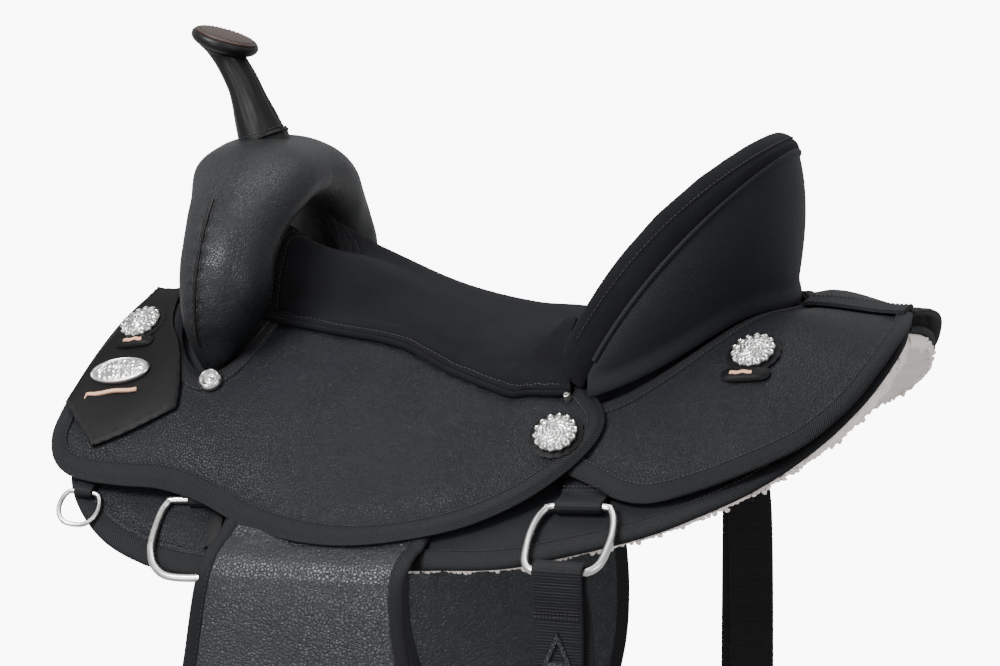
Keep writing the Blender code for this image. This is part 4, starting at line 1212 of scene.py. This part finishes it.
def build_cantle():
    section = [Vector((a, b, 0)) for a, b in [
        (0.0, 0.0), (-0.0005, 0.004), (0.003, 0.0095), (0.010, 0.0135), (0.018, 0.0140), (0.0245, 0.0095),
        (0.0262, 0.0020), (0.0262, -0.0040)]]
    outline = smooth_path(section, 5) + [Vector((0.0200, -0.0040, 0)), Vector((0.0100, -0.0030, 0)),
                                        Vector((0.0030, -0.0015, 0))]
    rings, back_line, front_line = [], [], []
    steps, end = 132, math.radians(77.8)
    for k in range(steps + 1):
        a = end * (2 * k / steps - 1)
        steep = 1 + 0.75 * smooth(abs(a) / math.radians(60))
        ends = smooth((end - abs(a)) / math.radians(3.0))
        squeeze = 0.45 + 0.55 * math.sqrt(ends)
        wrinkle = 1 + 0.03 * noise.noise(Vector((a * 9, 0, 4)))
        ring = []
        for p in outline:
            rise = p.y * (steep if p.y > 0 else 1) * squeeze * wrinkle
            inset = 0.013 + (p.x - 0.013) * (0.7 + 0.3 * squeeze)
            groove = 0.0010 if p.y > 0.006 else 0
            seam = groove * sum(math.exp(-((p.x - line) / 0.0009) ** 2) for line in (0.0035, 0.0235))
            ring.append(rim_place(a, inset, rise - seam))
        rings.append(ring)
        back_line.append(rim_place(a, 0.0002, 0.0012))
        front_line.append(rim_place(a, 0.0240, 0.0100 * steep * squeeze))
    roll = lofted("cantle_suede", rings, SUEDE, flat=70, nodes=["cantle_roll"])
    tube("cantle_back_piping", back_line[3:-3], 0.0024, BACK_CLOTH, sides=10)
    seam = Batch()
    path, ups = [], []
    for k in range(4, steps - 3):
        a = end * (2 * k / steps - 1)
        steep = 1 + 0.75 * smooth(abs(a) / math.radians(60))
        path.append(rim_place(a, 0.0046, 0.0113 * steep))
        ups.append((Vector((math.cos(a), math.sin(a), 0)) * 0.5 + Vector((0, 0, 1))).normalized())
    stitch(seam, path, ups, step=0.0040)
    seam.finish("cantle_stitches", THREAD)

    outer, inner = [], []
    rows = 40
    for k in range(steps + 1):
        a = math.radians(76.2) * (2 * k / steps - 1)
        out = Vector((math.cos(a), math.sin(a), 0))
        high = rim_place(a, 0.0, 0.0006)
        low = high - out * 0.001 * min(1, high.z / 0.1)
        low.z = min(upper_form(low.x, low.y) - 0.0030, high.z - 0.004)
        line_out, line_in = [], []
        for j in range(rows + 1):
            share = j / rows
            p = low.lerp(high, share)
            reach = min(1, (high.z - low.z) / 0.1)
            belly = 0.0064 * reach * math.sin(math.pi * min(1, share * 0.72 + 0.28 * share ** 2)) ** 0.8
            flare = 0.0045 * (1 - smooth((p.z - low.z) / 0.016))
            line_out.append(p + out * (belly + flare))
            line_in.append(p + out * (belly + flare - 0.0034))
        outer.append(line_out)
        inner.append(line_in[::-1])
    rings = [a + b for a, b in zip(outer, inner)]
    lofted("cantle_cloth", rings, BACK_CLOTH, flat=60, nodes=["cantle_back"])


# ---------------------------------------------------------------- swell and horn

WELT_TURN = math.radians(112)


def build_swell():
    rows, around = 156, 88
    rings = []
    for r in range(rows + 1):
        t = -7 + 14 * r / rows
        ring = []
        for k in range(around):
            turn = 2 * math.pi * k / around
            gap = math.atan2(math.sin(turn - WELT_TURN), math.cos(turn - WELT_TURN))
            near = math.exp(-(gap / 0.22) ** 2)
            near *= smooth((abs(t) - 2.2) / 0.6) * smooth((6.0 - abs(t)) / 0.5)
            pucker = near * (0.0007 * math.cos(t * 17) - 0.0006 * math.exp(-(gap / 0.035) ** 2))
            fold = 0.0006 * noise.noise(Vector((t * 1.3, math.cos(turn) * 2, math.sin(turn) * 2)))
            ring.append(swell_point(t, turn, pucker + fold))
        rings.append(ring)
    core = []
    for r in range(61):
        t = -49 / 9 + 98 / 9 * r / 60
        core.append([swell_point(t, 2 * math.pi * k / 48, -0.0075) for k in range(48)])
    lofted("fork_wood", core, TREE, flat=60, nodes=["fork"])
    swell = lofted("swell_hide", rings, SWELL_HIDE, flat=70, nodes=["swell_cover"])
    seam = Batch()
    for side, sign in SIDES.items():
        down = [sign * (2.3 + 3.7 * k / 60) for k in range(61)]
        path = [swell_point(t, WELT_TURN, 0.0001) for t in down]
        tube(f"swell_welt_{side}", path, 0.0013, SMOOTH_LEATHER, sides=8)
        for turn in (108, 116):
            line = [swell_point(t, math.radians(turn), 0.0004) for t in down]
            out = Vector((-0.5, sign, 0)).normalized()
            stitch(seam, line, out, step=0.0048)
    seam.finish("swell_stitches", THREAD)


def horn_ring(share, radius, count, ripple=0.0):
    turn = smooth((share - 0.62) / 0.42)
    cap_axis = Vector((math.sin(CAP_TILT), 0, math.cos(CAP_TILT)))
    place = HORN_BASE.lerp(HORN_TOP, share)
    place = place.lerp(CAP_PLACE + cap_axis * 0.001, smooth((share - 0.62) / 0.40) * 0.95)
    axis = (HORN_TOP - HORN_BASE).normalized().lerp(cap_axis, turn).normalized()
    across = Vector((0, 1, 0))
    ahead = across.cross(axis)
    ring = []
    for k in range(count):
        a = 2 * math.pi * k / count
        fold = 1 + ripple * (math.sin(9 * a + 3 * math.sin(2 * a)) + 0.5 * math.sin(17 * a + 4 * share))
        ring.append(place + (ahead * math.cos(a) + across * math.sin(a)) * radius * fold)
    return ring


def build_horn():
    outline = [
        (-0.10, 0.0240), (-0.02, 0.0218), (0.06, 0.0202), (0.10, 0.0192), (0.22, 0.0178),
        (0.35, 0.0162), (0.50, 0.0142), (0.65, 0.0130), (0.78, 0.0130), (0.88, 0.0150),
        (0.96, 0.0178), (1.02, 0.0192),
    ]
    rings = []
    for k in range(61):
        share, radius = read_between(outline, k * (len(outline) - 1) / 60)
        ripple = 0.022 * smooth((share - 0.12) / 0.2) * smooth((0.96 - share) / 0.3)
        rings.append(horn_ring(share, radius, 72, ripple))
    lofted("horn_wrap_hide", rings, SMOOTH_LEATHER, flat=70, nodes=["horn_wrap"])
    collar = horn_ring(0.085, 0.0204, 60)
    tube("horn_collar", collar, 0.0015, SMOOTH_LEATHER, True, 8)
    seam = Batch()
    stitch(seam, horn_ring(0.135, 0.0193, 60), (HORN_TOP - HORN_BASE).normalized(), True, step=0.0040)
    tag = [HORN_BASE + Vector((0.0215 - 0.002 * k, 0, -0.004 + 0.0065 * k)) for k in range(4)]
    strap("horn_tag", smooth_path(tag, 4), Vector((0, 1, 0)), 0.011, 0.0016, SMOOTH_LEATHER)
    axis = Vector((math.sin(CAP_TILT), 0, math.cos(CAP_TILT)))
    ahead = Vector((math.cos(CAP_TILT), 0, -math.sin(CAP_TILT)))
    across = axis.cross(ahead)

    def turned(name, profile, finish, **more):
        rings = []
        fine = smooth_path([Vector((r, z, 0)) for r, z in profile], 4)
        for p in fine:
            rings.append(circle(CAP_PLACE + axis * p.y, ahead, across, max(p.x, 0.0004), 88))
        return lofted(name, rings, finish, flat=60, **more)

    side = [
        (0.0004, 0.0), (0.0100, 0.0), (0.0165, 0.0010), (0.0215, 0.0026), (0.0255, 0.0052),
        (0.0272, 0.0082), (0.0270, 0.0108), (0.0256, 0.0122), (0.0235, 0.0124), (0.0004, 0.0122),
    ]
    turned("horn_cap_hide", side, SMOOTH_LEATHER, nodes=["horn_cap"])
    top = [
        (0.0004, 0.0118), (0.0236, 0.0118), (0.0250, 0.0126), (0.0246, 0.0136), (0.0200, 0.0149),
        (0.0100, 0.0156), (0.0004, 0.0158),
    ]
    turned("horn_cap_top", top, BROWN, nodes=["horn_cap_leather"])
    ring = circle(CAP_PLACE + axis * 0.0145, ahead, across, 0.0222, 60)
    stitch(seam, ring, axis, True, step=0.0036)
    seam.finish("horn_stitches", THREAD)


# ---------------------------------------------------------------- rigging

def dee_places(x, y, sign, lift):
    normal = normal_of(lower_form, x, y * sign)
    along = (Vector((1, 0, 0)) - normal * normal.x).normalized()
    down = along.cross(normal) * -sign
    if down.y * sign < 0:
        down = -down
    return on_form(lower_form, x, y * sign, lift), along, down, normal


def build_dee(name, x, y, sign, lift, wire, shape, tab_width, tab_length, body):
    """A dee of round wire that hinges in a webbing tab."""
    side = "right" if sign > 0 else "left"
    centre, along, down, normal = dee_places(x, y, sign, lift)
    lie = (down - normal * 0.05).normalized()
    flat = smooth_outline(shape + [(-w, d) for w, d in reversed(shape)], 0.0025)
    line = [centre + along * p.x + lie * p.y for p in flat]
    tube(f"{name}_wire_{side}", line, wire, STEEL, True, 16, body=body, nodes=[f"{name}_{side}"])
    loop = wire + 0.0013
    half = [(-tab_length, 0.0012), (-0.016, 0.0013), (-0.007, loop * 0.6)]
    turn = [math.radians(-90 + 30 * k) for k in range(7)]
    path = [(d, -n) for d, n in half]
    path += [(loop * math.cos(a), loop * math.sin(a)) for a in turn] + half[::-1]
    path = [(d, n - (lift - 0.0029) * smooth((-0.002 - d) / 0.010)) for d, n in path]
    points = smooth_path([centre + down * d + normal * n for d, n in path], 6)
    points = [p for p, _ in even_points(points, 0.0007)]
    strap(f"{name}_webbing_{side}", points, along, tab_width, 0.0014, RIBBED, 0.00018,
          nodes=[f"{name}_tab_{side}"])
    return centre, along, down, normal, lie


def build_rigging(side, sign):
    front = [(29, 0), (35, 3), (38, 12), (38.5, 32), (36, 48), (28, 62), (14, 70)]
    flank = [(20, 0), (25, 3), (29, 12), (31, 26), (30.5, 40), (28, 54), (21, 61), (9, 62.5)]
    breast = [(8, 0), (12.5, 2.5), (15, 9), (15, 17), (12, 24), (6, 28.5)]
    wide, small = (0.0058, 0.0030), (0.0046, 0.0019)
    build_dee("front_dee", -0.184, 0.190, sign, *wide, front, 0.036, 0.045, "saddle")
    build_dee("breast_dee", -0.289, 0.191, sign, *small, breast, 0.014, 0.020, f"breast_dee_{side}")
    found = build_dee("flank_dee", 0.110, 0.2110, sign, *wide, flank, 0.036, 0.045, f"flank_dee_{side}")
    centre, along, down, normal, lie = found
    hem = Batch()
    for k in (0.0125, 0.0165):
        a = centre + along * -0.016 - down * k + normal * 0.0046
        stitch(hem, [a + along * 0.004 * i for i in range(9)], normal, step=0.0032)
    hem.finish(f"flank_tab_stitches_{side}", THREAD)
    hang = centre + lie * 0.0620
    outward = Vector((0, sign, 0))
    loop = 0.0067
    path = [(loop * 0.42, -0.360), (loop * 0.42, -0.20), (loop * 0.42, -0.055), (loop * 0.85, -0.015)]
    turn = [math.radians(30 * k) for k in range(7)]
    back = [(-n, z) for n, z in reversed(path)]
    path += [(loop * math.cos(a), loop * math.sin(a)) for a in turn] + back
    points = []
    for n, z in path:
        shift = 0.009 * smooth((-0.010 - z) / 0.07) if n < 0 else 0.0
        points.append(hang + outward * n + Vector((shift, 0, z)))
    points = [p for p, _ in even_points(smooth_path(points, 10), 0.00065)]
    body = f"flank_billet_{side}"
    ahead = Vector((1, 0, 0))
    strap(f"billet_{side}", points, ahead, 0.0380, 0.0024, RIBBED, 0.00030, body=body, nodes=[body])
    marks = Batch()

    def on_strap(x, z, lift):
        """A place on the outer face of the hanging webbing."""
        bulge = loop * (0.42 + 0.43 * min(max((z + 0.055) / 0.040, 0), 1))
        return hang + Vector((x, 0, z)) + outward * (bulge + 0.0012 + lift)

    corners = [Vector((-0.0118, -0.0690)), Vector((0.0118, -0.0690)), Vector((0.0, -0.0420))]
    middle = (corners[0] + corners[1] + corners[2]) / 3
    band, row = [], []
    for i, start in enumerate(corners):
        for j in range(8):
            outer = start.lerp(corners[(i + 1) % 3], j / 8)
            inner = outer.lerp(middle, 0.46)
            section = [(outer, -0.0006), (outer, 0.0010), (outer.lerp(middle, 0.06), 0.0016)]
            section += [(outer.lerp(middle, 0.40), 0.0016), (inner, 0.0010), (inner, -0.0006)]
            band.append([on_strap(*place, lift) for place, lift in section])
            row.append(on_strap(*outer.lerp(middle, 0.16), 0.0017))
    lofted(f"billet_patch_{side}", band, COARSE, closed=True, body=body, flat=30)
    stitch(marks, row, outward, True, step=0.0026, radius=0.00034)
    for z in (-0.0290, -0.0320):
        stitch(marks, [on_strap(-0.0175 + 0.0025 * i, z, 0.0004) for i in range(15)], outward, step=0.0028)
    marks.finish(f"billet_stitches_{side}", THREAD, body)
    if sign > 0:
        tail = [hang + Vector((-0.004 + 0.0012 * k, -0.0062, 0.010 - 0.0055 * k)) for k in range(11)]
        strap("billet_tail", smooth_path(tail, 3), ahead, 0.0065, 0.0018, SMOOTH_LEATHER, body=body)


# ---------------------------------------------------------------- fenders and stirrups

# The fold above the fender, and how far its front rises over the dee, in millimetres at each row.
NECK = [
    (-16, 10.5, -100, 69), (-8, 5.5, -100, 69), (0, 0, -101, 69), (9, -2.5, -102, 69),
    (18, -8, -103, 69),
]
NECK_RISE = [(8.5,), (8.5,), (6.0,), (3.0,), (1.0,), (0.0,), (0.0,)]


def fender_rows():
    rows = [(*row, 3.0) for row in NECK] + [(*row, 4.2) for row in FENDER]
    middle, drop, edge = 24, -490, (-43, 19)
    rows.append((middle, -470, *edge, 3.6))
    for a in (30, 0, -30, -60, -90, -120, -150, -180, -210):
        angle = math.radians(a)
        rows.append((middle + 7 * math.cos(angle), drop + 7 * math.sin(angle), *edge, 3.6))
    rows += [(middle - 4.2, drop + 18, *edge, 3.6), (middle - 4.4, drop + 60, *edge, 3.6),
             (middle - 4.4, drop + 110, *edge, 3.6)]
    return rows


def build_fender(side, sign):
    """The fender with its border, the strap below it and the strap's loop round the stirrup's bolt."""
    place = hanging(sign)
    rows = fender_rows()
    body = f"fender_{side}"
    fine = []
    steps = 8
    for i in range((len(rows) - 1) * steps + 1):
        fine.append(read_between(rows, i / steps))
    last_wide = next(i for i, row in enumerate(fine) if row[1] < -352)

    def at(i, along, lift):
        out, up, _, _, _ = fine[i]
        near, far = fine[max(i - 1, 0)], fine[min(i + 1, len(fine) - 1)]
        ahead = Vector((far[0] - near[0], far[1] - near[1])).normalized()
        square = Vector((-ahead.y, ahead.x)) * lift
        tilt = 1 - smooth(-up / 60)
        rise = read_between(NECK_RISE, min(i / steps, 5.9))[0] * smooth((-25 - along) / 45)
        return place(along * MM, (out + square.x) * MM, (up + square.y + rise) * MM, tilt)

    shares = [0.0, 0.006, 0.02, 0.045] + [0.075 + 0.85 * k / 22 for k in range(23)]
    shares += [0.955, 0.98, 0.994, 1.0]
    rings = []
    for i, (out, up, start, end, thick) in enumerate(fine):
        outer, inner = [], []
        wide = end - start
        for s in shares:
            d = min(s, 1 - s) * wide
            rounded = 1.4 - math.sqrt(max(0.0, 1.96 - max(0.0, 1.4 - d) ** 2))
            puff = 0.9 * smooth((d - 12) / 14) if i < last_wide and i > 40 else 0.0
            puff += 0.5 * noise.noise(Vector((s * 5, up * 0.02, sign))) * smooth((d - 12) / 14)
            outer.append(at(i, start + wide * s, thick / 2 - rounded + puff))
            inner.append(at(i, start + wide * s, -thick / 2 + rounded))
        rings.append(outer + inner[::-1])
    hide = lofted(f"fender_hide_{side}", rings, COARSE, body=None, flat=60, nodes=[f"fender_{side}"])
    bend_from, bend_to = place(0, -0.010, 0), place(0, 0.004, 0)
    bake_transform(hide)
    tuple(bend_from)
    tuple(bend_to)
    for name, edge, turn in (("front", 2, 1), ("rear", 3, -1)):
        band = []
        for i in range(0, last_wide):
            start, half = fine[i][edge], fine[i][4] / 2
            section = [
                (11.5, half - 0.2), (11.0, half + 0.8), (7, half + 1.2), (3, half + 1.0), (0.2, half - 0.1),
                (-1.0, half * 0.4), (-1.0, -half * 0.4), (0.2, -half + 0.1), (3, -half - 0.9),
                (9, -half - 0.8), (9, -half + 0.3), (3, 0),
            ]
            band.append([at(i, start + turn * a, lift) for a, lift in section])
        tape = lofted(f"fender_band_{name}_{side}", band, BINDING, body=None, flat=60)
        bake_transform(tape)
        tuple(bend_from)
        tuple(bend_to)
    seams = Batch()
    out = Vector((0, sign, 0))
    for edge, turn in ((2, 1), (3, -1)):
        path = [at(i, fine[i][edge] + turn * 10.0, fine[i][4] / 2 + 0.9) for i in range(38, last_wide)]
        stitch(seams, path, out, step=0.0040)
        lower = range(last_wide, len(rows) * steps - 90)
        stitch(seams, [at(i, fine[i][edge] + turn * 4.0, fine[i][4] / 2) for i in lower], out, step=0.0042)
    for up in (-356, -372):
        i = min(range(len(fine) // 2 + 20), key=lambda k: abs(fine[k][1] - up))
        start, end = fine[i][2], fine[i][3]
        path = [at(i, start + 5 + (end - start - 10) * k / 20, fine[i][4] / 2 + 0.1) for k in range(21)]
        stitch(seams, path, out, step=0.0040)
    seams.finish(f"fender_stitches_{side}", THREAD, body)
    hobble = []
    for k in range(41):
        a = 2 * math.pi * k / 40
        reach, deep = 33.5, 8.2
        x = STIRRUP_CENTRE * 1000 + max(-reach, min(reach, 44 * math.cos(a)))
        y = 24 - 2.2 + max(-deep, min(deep, 20 * math.sin(a)))
        hobble.append(place(x * MM, y * MM, -0.447, 0))
    strap(f"hobble_{side}", hobble, Vector((0, 0, 1)), 0.019, 0.0026, SMOOTH_LEATHER, body=body)
    flat = smooth_outline([(-11, -13), (11, -13), (11, 13), (-11, 13)], 0.003)
    line = [place(STIRRUP_CENTRE + p.x, 0.0335, -0.447 + p.y, 0) for p in flat]
    tube(f"buckle_{side}", line, 0.0016, STEEL, True, 10, body=body)
    tongue = [place(STIRRUP_CENTRE - 0.010 + 0.002 * k, 0.0338, -0.447, 0) for k in range(12)]
    tube(f"buckle_tongue_{side}", tongue, 0.0013, STEEL, sides=8, body=body)


def build_upper_strap(side, sign):
    """The stirrup leather under the jockey, from the bar to the fender's fold."""
    slant = HINGE_AXIS.y / HINGE_AXIS.x
    rings = []
    for k in range(31):
        row = 0.132 + 0.1005 * k / 30
        top, bottom = [], []
        for j in range(13):
            x = HINGE.x + 0.060 * (j / 12 - 0.5)
            y = row + (x - HINGE.x) * slant * (row - 0.132) / 0.1
            low = lower_form(x, y)
            middle = low + 0.0036 + (upper_form(x, y) - low - 0.0148) * smooth((0.215 - y) / 0.06)
            half = 0.0015 * (1 - (abs(j - 6) / 6) ** 6 * 0.6)
            top.append(Vector((x, y * sign, middle + half)))
            bottom.append(Vector((x, y * sign, middle - half)))
        rings.append(top + bottom[::-1])
    lofted(f"upper_strap_{side}", rings, SMOOTH_LEATHER, nodes=[f"stirrup_leather_{side}"])


def build_stirrup(side, sign):
    """A bell stirrup with a ribbed tread, hung on a bolt."""
    place = hanging(sign)
    body = f"stirrup_{side}"
    half = [(-39, 16, 26), (-39.5, 0, 28), (-43, -30, 30), (-54, -68, 36), (-65, -104, 46), (-69, -126, 54),
            (-64, -139, 58), (-45, -144, 60), (-20, -145, 60)]
    rows = half + [(-s, z, w) for s, z, w in reversed(half)]
    fine = [read_between(rows, i / 6) for i in range((len(rows) - 1) * 6 + 1)]
    rings = []
    for i, (along, up, width) in enumerate(fine):
        near, far = fine[max(i - 1, 0)], fine[min(i + 1, len(fine) - 1)]
        ahead = Vector((far[0] - near[0], far[1] - near[1])).normalized()
        square = Vector((-ahead.y, ahead.x)) * 0.0039
        ring = []
        for k in range(40):
            a = 2 * math.pi * k / 40
            w = math.copysign(abs(math.cos(a)) ** 0.35, math.cos(a))
            t = math.copysign(abs(math.sin(a)) ** 0.6, math.sin(a))
            ring.append(place(STIRRUP_CENTRE + along * MM + square.x * t, 0.024 + w * width * MM / 2,
                              up * MM + square.y * t - FENDER_DROP, 0))
        rings.append(ring)
    lofted(f"stirrup_frame_{side}", rings, MOULDED, body=body, flat=60, nodes=[f"stirrup_{side}"])
    tread = Batch()
    for i in range(15):
        x = -0.049 + 0.007 * i
        a = place(STIRRUP_CENTRE + x, 0.024 - 0.025, -0.1408 - FENDER_DROP, 0)
        b = place(STIRRUP_CENTRE + x, 0.024 + 0.025, -0.1408 - FENDER_DROP, 0)
        tread.add_rod(a, b, 0.0014, Vector((0, 0, 1)), 8)
    tread.finish(f"tread_{side}", MOULDED, body)
    centre = place(STIRRUP_CENTRE, 0.024, -FENDER_DROP, 0)
    along = (place(1, 0, 0, 0) - place(0, 0, 0, 0)).normalized()
    other = along.orthogonal().normalized()
    third = along.cross(other)
    rings = []
    head = [(0.0445, 0.0040), (0.0446, 0.0064), (0.0450, 0.0070), (0.0462, 0.0070), (0.0470, 0.0066),
            (0.0475, 0.0050)]
    for x, r in [(-x, r) for x, r in reversed(head)] + head:
        rings.append(circle(centre + along * x, other, third, r, 36))
    lofted(f"bolt_{side}", rings, STEEL, body=body, flat=35, nodes=[f"stirrup_bolt_{side}"])


for side, sign in SIDES.items():
    build_skirt(side, sign)
    build_fleece(side, sign)
    build_jockeys(side, sign)
    build_lining(side, sign)
    build_plate(side, sign)
    build_conchos(side, sign)
    build_rigging(side, sign)
    build_fender(side, sign)
    build_upper_strap(side, sign)
    build_stirrup(side, sign)
build_connector()
build_seat()
build_cantle()
build_swell()
build_horn()

# The hard pieces under the covers keep their solids and take the same finishes.
HARD = {"tree_bar_left": TREE, "tree_bar_right": TREE, "cantle_core": TREE, "ground_seat": TREE,
        "horn_iron": IRON}
for name, finish in HARD.items():
    NODES[name].data.materials.clear()
    NODES[name].data.materials.append(finish)


# ---------------------------------------------------------------- stage, light and camera

FLOOR_LEVEL = -0.736
FLOOR_REACH = 40
CAMERA_DISTANCE = 3.0

corners = [(x * FLOOR_REACH, y * FLOOR_REACH, FLOOR_LEVEL) for x, y in ((-1, -1), (1, -1), (1, 1), (-1, 1))]
floor_mesh = bpy.data.meshes.new("floor")
floor_mesh.from_pydata(corners, [], [(0, 1, 2, 3)])
floor_mesh.materials.append(FLOOR)
floor = bpy.data.objects.new("floor", floor_mesh)
bpy.context.scene.collection.objects.link(floor)
floor.visible_diffuse = False
floor.visible_glossy = False

world = bpy.data.worlds.new("studio")
bpy.context.scene.world = world
world.use_nodes = True
background = world.node_tree.nodes["Background"]
background.inputs["Color"].default_value = (0.97, 0.98, 1.0, 1)
background.inputs["Strength"].default_value = 0.66


def area_light(name, place, aim, size, power, colour=(1, 1, 1)):
    lamp = bpy.data.lights.new(name, "AREA")
    lamp.shape = "RECTANGLE"
    lamp.size, lamp.size_y = size
    lamp.energy = power
    lamp.color = colour
    made = bpy.data.objects.new(name, lamp)
    made.location = place
    made.rotation_mode = "QUATERNION"
    made.rotation_quaternion = (Vector(place) - Vector(aim)).to_track_quat("Z", "Y")
    bpy.context.scene.collection.objects.link(made)


area_light("key", (-1.0, -1.5, 1.5), (0, 0, 0), (0.9, 0.9), 95)
area_light("fill", (1.6, -1.6, 0.7), (0, 0, -0.05), (1.4, 1.4), 20)
area_light("low", (-0.9, -1.8, -0.15), (-0.05, -0.25, -0.25), (0.8, 0.8), 14)
area_light("top", (0.0, 0.4, 2.0), (0, 0, 0), (1.6, 1.2), 30)

lens = bpy.data.cameras.new("camera")
lens.lens = 138.5
lens.sensor_width = 36
camera = bpy.data.objects.new("camera", lens)
azimuth, height = math.radians(18), math.radians(8.5)
level = math.cos(height)
back = Vector((math.sin(azimuth) * level, -math.cos(azimuth) * level, math.sin(height)))
camera.location = Vector((-0.020, 0, 0.029)) + back * CAMERA_DISTANCE
camera.rotation_mode = "QUATERNION"
camera.rotation_quaternion = back.to_track_quat("Z", "Y")
bpy.context.scene.collection.objects.link(camera)
bpy.context.scene.camera = camera
